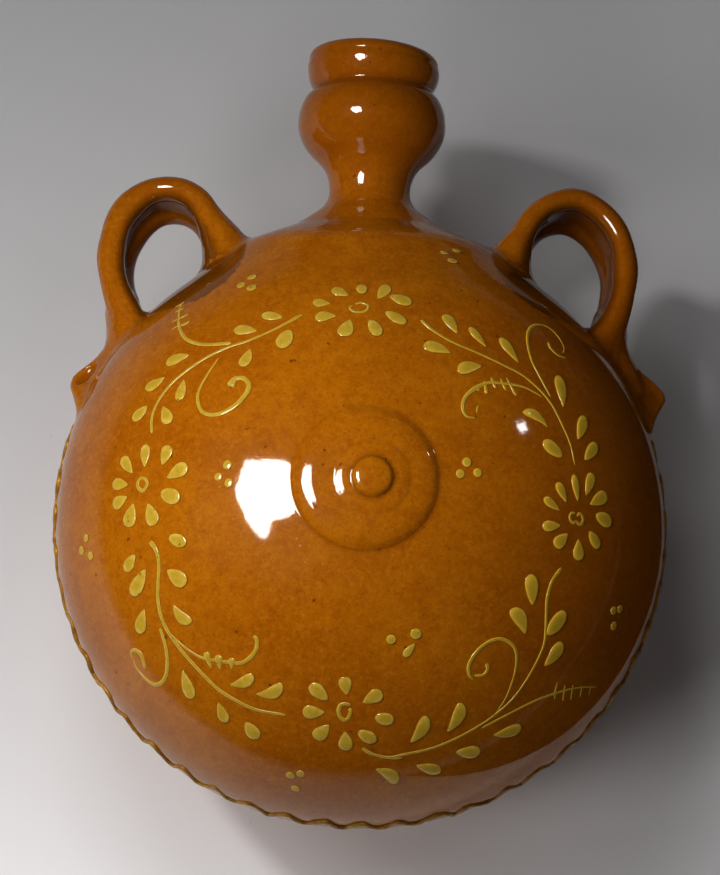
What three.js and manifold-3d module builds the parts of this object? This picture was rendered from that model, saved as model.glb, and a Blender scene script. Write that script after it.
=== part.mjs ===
// A glazed earthenware water flask: two thrown bowls joined rim to rim, a thrown neck with a knop,
// two grooved loop handles, and a wreath and an edge wave trailed in slip.
// Millimetres, +Z up. The flask lies on its flat back: the origin is the middle of that face, the
// neck points along +Y and the domed front faces +Z.
import * as THREE from "three";
import { mergeVertices } from "three/addons/utils/BufferGeometryUtils.js";
import Module from "manifold-3d";

const wasm = await Module();
wasm.setup();

// Body: the two bowls and their flat back.
const BODY_RADIUS = 105;
const FRONT_DEPTH = 72;
const BACK_DEPTH = 72;
const BASE_RADIUS = 48;
const WALL = 6;
const BASE_THICKNESS = 7;

// Boss turned at the middle of the front, and the nipple that sits a little off its centre.
const BOSS_RADIUS = 24.5;
const BOSS_EDGE = 5.5;
const BOSS_RISE = 2.4;
const NIPPLE_RADIUS = 6.6;
const NIPPLE_RISE = 3.2;
const SKIRT_WIDTH = 5.5;
const SKIRT_RISE = 1.8;
const NIPPLE_OFFSET = 2.3;

// Neck: heights are measured from the body's edge along the neck.
const FOOT_HALF_WIDTH = 39;
const FOOT_HALF_DEPTH = 31;
const FOOT_EDGE = 0.8;
const WAIST_RADIUS = 14.7;
const WAIST_HEIGHT = 17;
const KNOP_RADIUS = 26;
const KNOP_HEIGHT = 39.5;
const GROOVE_RADIUS = 20.4;
const GROOVE_HEIGHT = 51;
const COLLAR_RADIUS = 22.5;
const COLLAR_HEIGHT = 57.5;
const LIP_HEIGHT = 65.5;
const LIP_ROUND = 6.5;
const BORE_RADIUS = 9.7;
const MOUTH_RADIUS = 14.5;

// Handles: a strap with a lengthwise groove. Angles are from the neck's axis, round the body's edge,
// and the reach of the loop and the lift of the spur's tip are measured out from that edge. The loop
// leans back from the edge by the tilt.
const STRAP_WIDTH = 26;
const STRAP_THICKNESS = 9;
const STRAP_GROOVE = 2.2;
const ROOT_THICKNESS = 14;
const ROOT_GAP = 2;
const LOOP_REACH = 35;
const LOOP_TILT = 17;
const LOOP_LOW_ANGLE = 50;
const SPUR_ANGLE = 64;
const SPUR_LIFT = 9.5;
const SPUR_TIP = 3;

// The loop's outline: shares of the way from the upper root to the lower one, and of the reach.
const LOOP_SHAPE = [[0, 0.58], [0.14, 0.93], [0.34, 1], [0.56, 0.86], [0.76, 0.58], [0.92, 0.24]];

// Slip: the trail round the edge, the trails of the wreath, and its petals.
const WAVE_PITCH = 13;
const WAVE_SWING = 3;
const WAVE_WIDTH = 3;
const WAVE_HEIGHT = 1.3;
const WAVE_GAP = 6.5;
const TRAIL_WIDTH = 1.9;
const TRAIL_HEIGHT = 0.9;
const BARB_LENGTH = 4.4;
const HEART_RADIUS = 2.5;
const PETAL_LENGTH = 7.2;
const PETAL_WIDTH = 4.6;
const PETAL_HEIGHT = 1.3;

// A trail's section, in shares of its width and height, and a petal's layers, in shares of its size
// and height.
const TRAIL_SECTION = [[-0.5, 0], [-0.3, 0.9], [0.3, 0.9], [0.5, 0]];
const PETAL_LAYERS = [[1, 0], [0.84, 0.7], [0.4, 1]];

// Clearance between pieces that touch, and the sides that round forms are given.
const CLEARANCE = 0.3;
const BODY_SIDES = 48;
const NIPPLE_SIDES = 24;
const NECK_SIDES = 32;
const STRAP_SIDES = 12;
const STRAP_SECTIONS = 30;
const OUTER_ROWS = 11;
const INNER_ROWS = 7;
const ROUND_ROWS = 4;
const WAVE_STEPS = 4;

// The wreath's places are in hundredths of the body's radius, across and up towards the neck.
const FLOWERS = {
  upper: {
    heart: [-3.5, 60.5],
    petals: [
      [-15.5, 62], [-10, 65.5], [-2.5, 67.5], [4, 66.5], [9.5, 63],
      [9, 57], [2, 52.5], [-7.5, 52], [-14, 56],
    ],
  },
  left: {
    heart: [-72, 0.5],
    petals: [
      [-70.5, 9.5], [-64.5, 8.5], [-61, 3], [-62.5, -4.5], [-68.5, -10],
      [-75, -9.5], [-78.5, -4.5], [-79, 1.5], [-76.5, 7.5],
    ],
  },
  right: {
    heart: [69, -6.5],
    petals: [
      [61.5, -3], [64, 1.5], [68.5, 3.5], [73, 5], [77, 1],
      [78, -5], [75.5, -11.5], [70.5, -16], [64.5, -15], [61, -10],
    ],
  },
  lower: {
    heart: [-4, -72.5],
    petals: [
      [-12.5, -67], [-4.5, -65], [4.5, -67.5], [8, -74],
      [4, -79.5], [-3.5, -81], [-11, -78.5], [-13.5, -73],
    ],
  },
};
const SPRAYS = {
  upper_left: {
    stem: [[-22, 57], [-35, 50], [-56.5, 40], [-63.5, 34.5], [-68, 27.5], [-69.5, 17]],
    frond: [[-44, 46.2], [-54.5, 48], [-59.5, 51], [-62, 57], [-61.5, 66.5]],
    scroll: [
      [-48.5, 44], [-53.5, 33.5], [-54.5, 27], [-51, 21.5], [-44.5, 23],
      [-38.5, 29], [-39, 34.5], [-43, 34], [-43.5, 31],
    ],
    barbs: { from: 0.62, to: 0.97, count: 5 },
  },
  upper_right: {
    stem: [[16.5, 56.5], [30, 48], [50, 40], [57.5, 34], [62.5, 26], [68, 11]],
    frond: [[57.5, 33.5], [50, 35.5], [40, 36], [35, 33], [31, 26], [32, 22.5], [35, 22.5]],
    scroll: [
      [59.5, 31], [54.5, 44.5], [52, 53], [53.5, 59.5], [57.5, 61],
      [62.5, 57.5], [64.5, 50.5], [61.5, 50.5], [59, 54],
    ],
    barbs: { from: 0.3, to: 0.6, count: 5 },
  },
  lower_left: {
    stem: [
      [-68.5, -19], [-66, -24.5], [-65, -35.5], [-62.5, -45.5],
      [-52, -59], [-43, -66.5], [-23.5, -73.5],
    ],
    frond: [[-62.5, -45.5], [-56, -52], [-50.5, -55], [-38.5, -58], [-34, -55], [-34.5, -50]],
    scroll: [
      [-63.5, -43], [-61.5, -52], [-61.5, -59.5], [-64.5, -62.5], [-69, -59.5],
      [-73, -53.5], [-71.5, -50.5], [-69, -53.5], [-69, -57],
    ],
    barbs: { from: 0.4, to: 0.6, count: 3 },
  },
  lower_right: {
    stem: [
      [2, -82.5], [7.5, -84.5], [15, -84], [27.5, -80], [40, -74],
      [51, -64.5], [57.5, -54], [60, -43.5], [60, -36], [64.5, -23],
    ],
    frond: [[39.5, -74.3], [51, -68], [63, -61], [79.5, -55]],
    scroll: [
      [45, -70.2], [50, -58], [50.5, -51.5], [45.5, -47.5], [39, -50],
      [35.5, -56.5], [37, -60.5], [40.5, -58.5], [41, -55.5],
    ],
    barbs: { from: 0.66, to: 0.97, count: 5 },
  },
};

const glaze = new THREE.MeshStandardMaterial({ color: 0xa5560f, roughness: 0.15, metalness: 0 });
const slip = new THREE.MeshStandardMaterial({ color: 0xd0b04c, roughness: 0.25, metalness: 0 });

const { degToRad, radToDeg, lerp } = THREE.MathUtils;

// The flat back lies on the floor, so this is the height of the edge where the bowls meet.
const EDGE_HEIGHT = BACK_DEPTH * Math.sqrt(1 - (BASE_RADIUS / BODY_RADIUS) ** 2);

// Each handle's upper root stands on the edge beside the neck's foot.
const ROOT_PLACE = FOOT_HALF_WIDTH + ROOT_GAP + ROOT_THICKNESS / 2;
const LOOP_TOP_ANGLE = radToDeg(Math.asin(ROOT_PLACE / BODY_RADIUS));

// The spur runs out onto the edge here, and the wave starts a little further on.
const SPUR_END_ANGLE = SPUR_ANGLE + SPUR_TIP;
const WAVE_END_ANGLE = SPUR_END_ANGLE + radToDeg(WAVE_GAP / BODY_RADIUS);

const point = (x, y) => new THREE.Vector2(x, y);

// Values from 0 to 1 in equal steps.
const steps = (count) => Array.from({ length: count + 1 }, (_, i) => i / count);

// A closed geometry as a solid, and a solid as a named mesh.
function solidOf(geometry) {
  const bare = geometry.clone();
  bare.deleteAttribute("normal");
  bare.deleteAttribute("uv");
  const merged = mergeVertices(bare, 1e-4);
  const index = merged.index.array;
  const triVerts = [];
  for (let i = 0; i < index.length; i += 3) {
    const [a, b, c] = index.slice(i, i + 3);
    if (a !== b && b !== c && c !== a) triVerts.push(a, b, c);
  }
  const vertProperties = merged.attributes.position.array;
  return new wasm.Manifold(
    new wasm.Mesh({ numProp: 3, vertProperties, triVerts: new Uint32Array(triVerts) }),
  );
}

function meshOf(name, solid, material) {
  const { vertProperties, triVerts } = solid.getMesh();
  const geometry = new THREE.BufferGeometry();
  geometry.setAttribute("position", new THREE.BufferAttribute(vertProperties, 3));
  geometry.setIndex(new THREE.BufferAttribute(triVerts, 1));
  geometry.computeVertexNormals();
  const mesh = new THREE.Mesh(geometry, material);
  mesh.name = name;
  return mesh;
}

// A solid skinned over rings of points, capped at both ends unless the last ring meets the first.
function loft(rings, closed = false) {
  const sides = rings[0].length;
  const index = [];
  const spans = closed ? rings.length : rings.length - 1;
  for (let i = 0; i < spans; i++) {
    const near = i * sides;
    const far = ((i + 1) % rings.length) * sides;
    for (let j = 0; j < sides; j++) {
      const k = (j + 1) % sides;
      index.push(near + j, near + k, far + k, near + j, far + k, far + j);
    }
  }
  const last = (rings.length - 1) * sides;
  for (let j = 1; j < sides - 1 && !closed; j++) {
    index.push(0, j + 1, j, last, last + j, last + j + 1);
  }
  const geometry = new THREE.BufferGeometry();
  geometry.setFromPoints(rings.flat());
  geometry.setIndex(index);
  return solidOf(geometry);
}

// Revolved solids: round the flask's upright axis, and round the neck's axis at the edge's height.
function revolveBody(profile, sides = BODY_SIDES) {
  const geometry = new THREE.LatheGeometry(profile, sides);
  geometry.rotateX(Math.PI / 2);
  geometry.translate(0, 0, EDGE_HEIGHT);
  return solidOf(geometry);
}

function revolveNeck(profile) {
  const geometry = new THREE.LatheGeometry(profile, NECK_SIDES);
  geometry.translate(0, 0, EDGE_HEIGHT);
  return solidOf(geometry);
}

// The body's elliptical section between two radii, as points (radius, height from the edge).
function bodyArc(radius, depth, fromRadius, toRadius, count) {
  const start = Math.asin(fromRadius / radius);
  const end = Math.asin(toRadius / radius);
  return steps(count).map((t) => {
    const angle = lerp(start, end, t);
    return point(radius * Math.sin(angle), depth * Math.cos(angle));
  });
}

// The whole body as one plain solid, grown by the clearance: it trims what is luted onto the body.
function bodyTrimmer() {
  const radius = BODY_RADIUS + CLEARANCE;
  const back = bodyArc(radius, -BACK_DEPTH - CLEARANCE, 0, radius, OUTER_ROWS);
  const front = bodyArc(radius, FRONT_DEPTH + CLEARANCE, 0, radius, OUTER_ROWS).reverse();
  return revolveBody([...back, ...front.slice(1)]);
}

function neckHole() {
  const hole = new THREE.CylinderGeometry(BORE_RADIUS, BORE_RADIUS, 2 * BODY_RADIUS, NECK_SIDES);
  hole.translate(0, BODY_RADIUS, EDGE_HEIGHT);
  return solidOf(hole);
}

// Front bowl: the shell with its boss, the nipple, and its half of the hole under the neck.
function frontBowl() {
  const innerRadius = BODY_RADIUS - WALL;
  const inside = bodyArc(innerRadius, FRONT_DEPTH - WALL, 0, innerRadius, INNER_ROWS);
  const outside = bodyArc(BODY_RADIUS, FRONT_DEPTH, BOSS_RADIUS, BODY_RADIUS, OUTER_ROWS).reverse();
  inside.at(-1).y = CLEARANCE / 2;
  outside[0].y = CLEARANCE / 2;
  const bossFoot = outside.at(-1).y;
  const bossTop = bossFoot + BOSS_RISE;
  const bossEdge = steps(ROUND_ROWS).slice(1).map((t) => {
    const turn = (t * Math.PI) / 2;
    const inward = BOSS_EDGE * (1 - Math.cos(turn));
    return point(BOSS_RADIUS - inward, bossFoot + BOSS_RISE * Math.sin(turn));
  });
  const shell = revolveBody([...inside, ...outside, ...bossEdge, point(0, bossTop)]);

  const sunk = bossTop - WALL / 2;
  const skirt = steps(ROUND_ROWS).map((t) => {
    return point(NIPPLE_RADIUS + SKIRT_WIDTH * (1 - t), bossTop + SKIRT_RISE * t * t);
  });
  const cap = steps(ROUND_ROWS).slice(1).map((t) => {
    const turn = (t * Math.PI) / 2;
    const height = bossTop + SKIRT_RISE + NIPPLE_RISE * Math.sin(turn);
    return point(NIPPLE_RADIUS * Math.cos(turn), height);
  });
  const nippleOutline = [point(0, sunk), point(skirt[0].x, sunk), ...skirt, ...cap];
  const nipple = revolveBody(nippleOutline, NIPPLE_SIDES);
  return shell.add(nipple.translate([NIPPLE_OFFSET, 0, 0])).subtract(neckHole());
}

// Back bowl: the shell with the flat disc that the flask lies on, and its half of the neck's hole.
function backBowl() {
  const innerRadius = BODY_RADIUS - WALL;
  const innerDepth = BACK_DEPTH - WALL;
  const floor = EDGE_HEIGHT - BASE_THICKNESS;
  const floorRadius = innerRadius * Math.sqrt(1 - (floor / innerDepth) ** 2);
  const outside = bodyArc(BODY_RADIUS, -BACK_DEPTH, BASE_RADIUS, BODY_RADIUS, OUTER_ROWS);
  const inside = bodyArc(innerRadius, -innerDepth, floorRadius, innerRadius, INNER_ROWS).reverse();
  outside.at(-1).y = -CLEARANCE / 2;
  inside[0].y = -CLEARANCE / 2;
  const shell = revolveBody([point(0, -EDGE_HEIGHT), ...outside, ...inside, point(0, -floor)]);
  return shell.subtract(neckHole());
}

// The neck's foot: it sweeps from the waist out onto the shoulders, wider round the body's edge than
// over its front and back, and runs out along the body's own slope.
function footRings() {
  const height = BODY_RADIUS + WAIST_HEIGHT;
  const turns = steps(NECK_SIDES).slice(1).map((t) => 2 * Math.PI * t);
  const sweeps = turns.map((turn) => {
    const across = FOOT_HALF_WIDTH * Math.sin(turn);
    const rise = FOOT_HALF_DEPTH * Math.cos(turn);
    const depth = rise > 0 ? FRONT_DEPTH : BACK_DEPTH;
    const level = Math.sqrt(1 - (across / BODY_RADIUS) ** 2 - (rise / depth) ** 2);
    const foot = BODY_RADIUS * level;
    const reach = Math.hypot(across, rise);
    const fall = across ** 2 / BODY_RADIUS + (BODY_RADIUS * rise ** 2) / depth ** 2;
    const pitch = fall / (level * reach);
    const knee = foot + pitch * (reach - WAIST_RADIUS);
    return new THREE.QuadraticBezierCurve(
      point(reach, foot + FOOT_EDGE),
      point(WAIST_RADIUS, knee),
      point(WAIST_RADIUS, height),
    );
  });
  const headings = sweeps.map(({ v0 }, i) => {
    const across = FOOT_HALF_WIDTH * Math.sin(turns[i]);
    return point(across, FOOT_HALF_DEPTH * Math.cos(turns[i])).divideScalar(v0.x);
  });
  const ring = (spotOn) => sweeps.map((sweep, i) => {
    const { x: reach, y } = spotOn(sweep);
    return new THREE.Vector3(reach * headings[i].x, y, EDGE_HEIGHT + reach * headings[i].y);
  });
  const buried = ring(({ v0 }) => point(v0.x, v0.y - WALL));
  return [buried, ...steps(INNER_ROWS).map((t) => ring((sweep) => sweep.getPoint(t)))];
}

// Neck: the foot, then waist, knop, groove and collar as one turned outline, bored through.
function neck() {
  const from = (height) => BODY_RADIUS + height;
  const between = (low, high, t) => from(lerp(low, high, t));
  const swell = steps(INNER_ROWS).slice(1).map((t) => {
    const rise = (1 - Math.cos(Math.PI * t)) / 2;
    return point(lerp(WAIST_RADIUS, KNOP_RADIUS, rise), between(WAIST_HEIGHT, KNOP_HEIGHT, t));
  });
  const shoulder = steps(ROUND_ROWS).slice(1).map((t) => {
    const fall = 1 - Math.cos((t * Math.PI) / 2);
    return point(lerp(KNOP_RADIUS, GROOVE_RADIUS, fall), between(KNOP_HEIGHT, GROOVE_HEIGHT, t));
  });
  const collar = steps(ROUND_ROWS / 2).slice(1).map((t) => {
    const rise = Math.sin((t * Math.PI) / 2);
    return point(lerp(GROOVE_RADIUS, COLLAR_RADIUS, rise), between(GROOVE_HEIGHT, COLLAR_HEIGHT, t));
  });
  const lip = steps(ROUND_ROWS).slice(1).map((t) => {
    const turn = (t * Math.PI) / 2;
    const inward = LIP_ROUND * (1 - Math.cos(turn));
    return point(COLLAR_RADIUS - inward, between(COLLAR_HEIGHT, LIP_HEIGHT, Math.sin(turn)));
  });
  const outline = [...swell, ...shoulder, ...collar, ...lip];
  const turned = outline.map(({ x: radius, y }) =>
    steps(NECK_SIDES).slice(1).map((t) => {
      const turn = 2 * Math.PI * t;
      return new THREE.Vector3(radius * Math.sin(turn), y, EDGE_HEIGHT + radius * Math.cos(turn));
    }),
  );
  const above = from(2 * LIP_HEIGHT);
  const hollow = steps(ROUND_ROWS).slice(1).map((t) => {
    return point(lerp(BORE_RADIUS, KNOP_RADIUS - WALL, t), between(WAIST_HEIGHT, KNOP_HEIGHT, t));
  });
  const bore = [
    point(0, 0),
    point(BORE_RADIUS, 0),
    point(BORE_RADIUS, from(WAIST_HEIGHT)),
    ...hollow,
    point(MOUTH_RADIUS, from(GROOVE_HEIGHT)),
    point(MOUTH_RADIUS, above),
    point(0, above),
  ];
  return loft([...footRings(), ...turned]).subtract(revolveNeck(bore)).subtract(bodyTrimmer());
}

// Stations of a handle: angle from the neck's axis, reach from the edge, and the strap's thickness,
// width and groove there as shares of the full strap.
function handleStations() {
  const half = STRAP_THICKNESS / 2;
  const root = ROOT_THICKNESS / STRAP_THICKNESS;
  const full = { thick: 1, wide: 1, groove: 1 };
  const loop = LOOP_SHAPE.map(([way, share]) => {
    const angle = lerp(LOOP_TOP_ANGLE, LOOP_LOW_ANGLE, way);
    return { angle, reach: share * LOOP_REACH, ...full };
  });
  return [
    { angle: LOOP_TOP_ANGLE, reach: -2 * half, thick: root, wide: 1.15, groove: 0 },
    { angle: LOOP_TOP_ANGLE, reach: half, thick: lerp(1, root, 0.7), wide: 1.1, groove: 0.4 },
    ...loop,
    { angle: LOOP_LOW_ANGLE, reach: half / 3, thick: 1.1, wide: 0.95, groove: 0.7 },
    { angle: lerp(LOOP_LOW_ANGLE, SPUR_ANGLE, 0.4), reach: half / 4, thick: 1.1, wide: 0.75, groove: 0.2 },
    { angle: lerp(LOOP_LOW_ANGLE, SPUR_ANGLE, 0.7), reach: half / 3, thick: 1, wide: 0.5, groove: 0 },
    { angle: SPUR_ANGLE, reach: SPUR_LIFT - 0.7 * half, thick: 0.7, wide: 0.25, groove: 0 },
    { angle: SPUR_END_ANGLE, reach: 0, thick: 0.4, wide: 0.15, groove: 0 },
  ];
}

// Handle: the grooved strap along its loop, from the shoulder down to the spur pinched onto the edge.
function handle(side) {
  const stations = handleStations();
  const middle = degToRad((LOOP_TOP_ANGLE + LOOP_LOW_ANGLE) / 2);
  const hinge = new THREE.Vector3(side * Math.sin(middle), Math.cos(middle), 0);
  const hingeAxis = new THREE.Vector3(0, 0, 1).cross(hinge);
  hinge.multiplyScalar(BODY_RADIUS).setZ(EDGE_HEIGHT);
  const path = new THREE.CatmullRomCurve3(
    stations.map(({ angle, reach }) => {
      const turn = degToRad(angle);
      const radius = BODY_RADIUS + reach;
      return new THREE.Vector3(side * radius * Math.sin(turn), radius * Math.cos(turn), EDGE_HEIGHT);
    }),
  );
  const sizes = new THREE.CatmullRomCurve3(
    stations.map(({ thick, wide, groove }) => new THREE.Vector3(thick, wide, groove)),
  );
  const rings = steps(STRAP_SECTIONS).map((t) => {
    const centre = path.getPoint(t);
    const forward = path.getTangent(t);
    const outward = new THREE.Vector3(-side * forward.y, side * forward.x, 0).normalize();
    const { x: thick, y: wide, z: groove } = sizes.getPoint(t);
    const ring = steps(STRAP_SIDES).slice(1).map((turn) => {
      const angle = 2 * Math.PI * turn;
      const dip = groove * STRAP_GROOVE * Math.max(0, Math.cos(1.5 * Math.PI * Math.cos(angle)));
      const swell = (thick * STRAP_THICKNESS) / 2 - dip;
      const out = swell * Math.sign(Math.sin(angle)) * Math.abs(Math.sin(angle)) ** 0.7;
      const along = ((wide * STRAP_WIDTH) / 2) * Math.cos(angle);
      const spot = centre.clone().addScaledVector(outward, out);
      spot.z += along;
      return spot.sub(hinge).applyAxisAngle(hingeAxis, degToRad(LOOP_TILT)).add(hinge);
    });
    return side > 0 ? ring.reverse() : ring;
  });
  return loft(rings).subtract(bodyTrimmer());
}

// A spot on the front dome with the dome's outward normal there.
function domeSpot(x, y) {
  const height = FRONT_DEPTH * Math.sqrt(1 - (x * x + y * y) / BODY_RADIUS ** 2);
  const foot = new THREE.Vector3(x, y, EDGE_HEIGHT + height);
  const normal = new THREE.Vector3(
    x / BODY_RADIUS ** 2,
    y / BODY_RADIUS ** 2,
    height / FRONT_DEPTH ** 2,
  ).normalize();
  return { foot, normal };
}

const wreathPoint = ([across, up]) => point(across, up).multiplyScalar(BODY_RADIUS / 100);

// A slip trail of half-round section over spots that each have a foot and a normal.
function trail(spots, width, height, closed = false) {
  const last = spots.length - 1;
  const rings = spots.map(({ foot, normal }, i) => {
    const before = spots[closed ? (i + last) % (last + 1) : Math.max(0, i - 1)].foot;
    const after = spots[closed ? (i + 1) % (last + 1) : Math.min(last, i + 1)].foot;
    const forward = after.clone().sub(before).normalize();
    const sideways = forward.cross(normal).normalize();
    return TRAIL_SECTION.map(([out, up]) => {
      const spot = foot.clone().addScaledVector(sideways, out * width);
      return spot.addScaledVector(normal, CLEARANCE + up * height);
    });
  });
  return loft(rings, closed);
}

// A trail on the front dome through wreath places.
function drawn(places, count) {
  const curve = new THREE.SplineCurve(places.map(wreathPoint));
  const spots = curve.getSpacedPoints(count).map(({ x, y }) => domeSpot(x, y));
  return trail(spots, TRAIL_WIDTH, TRAIL_HEIGHT);
}

// A spray: the stem, the scroll and the frond that branch off it, and the frond's barbs.
function spray({ stem, frond, scroll, barbs }) {
  const curve = new THREE.SplineCurve(frond.map(wreathPoint));
  const strokes = steps(barbs.count - 1).map((t) => {
    const along = lerp(barbs.from, barbs.to, t);
    const middle = curve.getPointAt(along);
    const forward = curve.getTangentAt(along);
    const reach = point(-forward.y, forward.x).multiplyScalar(BARB_LENGTH / 2);
    const ends = [middle.clone().sub(reach), middle, middle.clone().add(reach)];
    return trail(ends.map(({ x, y }) => domeSpot(x, y)), TRAIL_WIDTH, TRAIL_HEIGHT);
  });
  const branches = [drawn(scroll, 16), drawn(frond, 10), ...strokes];
  return branches.reduce((whole, branch) => whole.add(branch), drawn(stem, 12));
}

// A flower's heart: a small closed ring of trail.
function heart(place) {
  const middle = wreathPoint(place);
  const spots = steps(9).slice(1).map((t) => {
    const turn = 2 * Math.PI * t;
    const x = middle.x + HEART_RADIUS * Math.cos(turn);
    return domeSpot(x, middle.y + HEART_RADIUS * Math.sin(turn));
  });
  return trail(spots, TRAIL_WIDTH, TRAIL_HEIGHT, true);
}

// A petal: a drop with its round end out and its point towards the heart.
function petal(place, heartPlace) {
  const middle = wreathPoint(place);
  const inward = wreathPoint(heartPlace).sub(middle).normalize();
  const sideways = point(-inward.y, inward.x);
  const rings = PETAL_LAYERS.map(([size, lift]) =>
    steps(8).slice(1).map((t) => {
      const turn = 2 * Math.PI * t;
      const along = (size * PETAL_LENGTH * Math.cos(turn)) / 2;
      const taper = Math.sin(turn) * Math.abs(Math.sin(turn / 2));
      const spot = middle.clone().addScaledVector(inward, along);
      spot.addScaledVector(sideways, 0.65 * size * PETAL_WIDTH * taper);
      const { foot, normal } = domeSpot(spot.x, spot.y);
      return foot.addScaledVector(normal, CLEARANCE + lift * PETAL_HEIGHT);
    }),
  );
  return loft(rings);
}

// The wave round the edge, from one handle's spur round the foot of the flask to the other's.
function edgeWave() {
  const start = degToRad(WAVE_END_ANGLE);
  const sweep = 2 * Math.PI - 2 * start;
  const waves = Math.round((sweep * BODY_RADIUS) / WAVE_PITCH);
  const spots = steps(WAVE_STEPS * waves).map((t) => {
    const angle = start + sweep * t;
    const rise = WAVE_SWING * Math.sin(2 * Math.PI * waves * t);
    const depth = rise > 0 ? FRONT_DEPTH : BACK_DEPTH;
    const radius = BODY_RADIUS * Math.sqrt(1 - (rise / depth) ** 2);
    const normal = new THREE.Vector3(Math.sin(angle), Math.cos(angle), 0);
    const foot = normal.clone().multiplyScalar(radius);
    foot.z = EDGE_HEIGHT + rise;
    return { foot, normal };
  });
  return trail(spots, WAVE_WIDTH, WAVE_HEIGHT);
}

const flask = new THREE.Group();
flask.add(meshOf("front_bowl", frontBowl(), glaze));
flask.add(meshOf("back_bowl", backBowl(), glaze));
flask.add(meshOf("neck", neck(), glaze));
flask.add(meshOf("handle_left", handle(-1), glaze));
flask.add(meshOf("handle_right", handle(1), glaze));
flask.add(meshOf("edge_wave", edgeWave(), slip));

const wreath = new THREE.Group();
for (const [name, strokes] of Object.entries(SPRAYS)) {
  wreath.add(meshOf(`spray_${name}`, spray(strokes), slip));
}
for (const [name, flower] of Object.entries(FLOWERS)) {
  wreath.add(meshOf(`heart_${name}`, heart(flower.heart), slip));
  flower.petals.forEach((place, i) => {
    wreath.add(meshOf(`petal_${name}_${i + 1}`, petal(place, flower.heart), slip));
  });
}
flask.add(wreath);

export default flask;
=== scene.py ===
"""A round glazed water flask, lying on its flat back, with trailed slip on its front.

The clay is one soft form that the potter luted together: two thrown bowls, a neck and two straps. It is
worked out here as a distance in millimetres from the middle of the body, and cut into those pieces again.
The slip is made by Geometry Nodes: trails that follow a path over the clay, and drops set on it.
"""
import math

import bpy
import numpy as np
from mathutils import Matrix, Vector


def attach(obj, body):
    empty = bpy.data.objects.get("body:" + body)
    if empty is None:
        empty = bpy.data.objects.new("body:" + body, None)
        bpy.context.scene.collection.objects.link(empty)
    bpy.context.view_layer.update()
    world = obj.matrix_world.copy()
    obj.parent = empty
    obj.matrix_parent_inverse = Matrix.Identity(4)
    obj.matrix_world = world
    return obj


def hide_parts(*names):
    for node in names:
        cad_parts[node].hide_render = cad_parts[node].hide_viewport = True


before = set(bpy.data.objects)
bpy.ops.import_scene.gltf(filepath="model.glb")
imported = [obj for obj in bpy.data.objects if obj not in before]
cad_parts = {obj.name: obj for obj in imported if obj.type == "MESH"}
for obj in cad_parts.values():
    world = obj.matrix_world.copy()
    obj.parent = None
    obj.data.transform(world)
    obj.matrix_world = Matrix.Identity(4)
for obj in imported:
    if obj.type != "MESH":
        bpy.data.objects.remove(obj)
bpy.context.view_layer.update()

MM = 0.001

# ---------------------------------------------------------------------------------------------------
# Sizes in millimetres. The body's middle is the origin of all clay sums.

BODY_RADIUS = 105.0
BODY_DEPTH = 72.0
BODY = np.array([BODY_RADIUS, BODY_RADIUS, BODY_DEPTH])
BASE_RADIUS = 48.0
BASE_ROUND = 4.0
REST = BODY_DEPTH * math.sqrt(1 - (BASE_RADIUS / BODY_RADIUS) ** 2)
MIDDLE = np.array([0.0, 0.0, REST])

# Turned rises on the front: radius, breadth of the edge, height, softness of the foot, and how fast the edge
# levels out. The step of the boss has a foot that is wiped softer on one side.
BOSS = {"radius": 24.6, "edge": 7.6, "high": 1.12, "foot": 0.03}
BOSS_STEP = {"radius": 25.0, "edge": 2.6, "high": 0.75}
BOSS_WIPED = (0.28, 0.15)
SKIRT = {"radius": 13.0, "edge": 4.0, "high": 0.7, "foot": 0.06}
NIPPLE = {"radius": 7.0, "edge": 7.0, "high": 0.9, "foot": 0.02, "power": 3.5}
NIPPLE_STEP = {"radius": 7.2, "edge": 1.5, "high": 0.9, "foot": 0.03}
NIPPLE_PLACE = (2.3, -0.2)
FRONT_FADE = (30.0, 50.0)

# Outline of the neck, (radius, place along the neck) from inside the body up to the lip and into the
# mouth. The bore is cut out of it.
NECK_OUTLINE = [
    (39.2, 92.0), (26.4, 99.0), (21.6, 103.6), (18.1, 108.0), (14.6, 112.6), (13.2, 117.4), (13.6, 121.6),
    (14.9, 125.8), (17.2, 129.6), (21.6, 134.0), (24.4, 138.2), (25.7, 142.4), (25.6, 146.6), (24.8, 150.0),
    (23.4, 153.0), (21.6, 155.0), (20.8, 156.2), (21.0, 157.2), (21.8, 158.8), (22.4, 160.6), (22.8, 162.4),
    (22.9, 164.2), (22.65, 165.6), (22.6, 166.5), (22.6, 167.3), (22.1, 168.5), (21.0, 169.6), (19.2, 170.3),
    (17.4, 170.5), (15.8, 170.2), (14.6, 169.2), (13.8, 166.5),
]
BORE = [
    (0.0, 176.0), (15.6, 176.0), (15.0, 170.0), (14.0, 164.0), (12.4, 155.0), (10.4, 148.0), (9.7, 140.0),
    (9.7, 106.0), (8.6, 103.6), (0.0, 103.6),
]

# Where the neck's foot grows flat and its collar leans, and the widths over which the forms run together.
NECK_FOOT = (121.0, 101.0)
NECK_FOOT_FLAT = 0.22
COLLAR = (156.0, 168.0)
COLLAR_LEAN = 0.05
NECK_MELT = 31.5
NECK_JOIN = 1.0
BORE_ROUND = 1.6
TAIL_MELT = 8.0
SPUR_MELT = 4.0
STRAP_MELT = 6.0
FAR = 1e3

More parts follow.
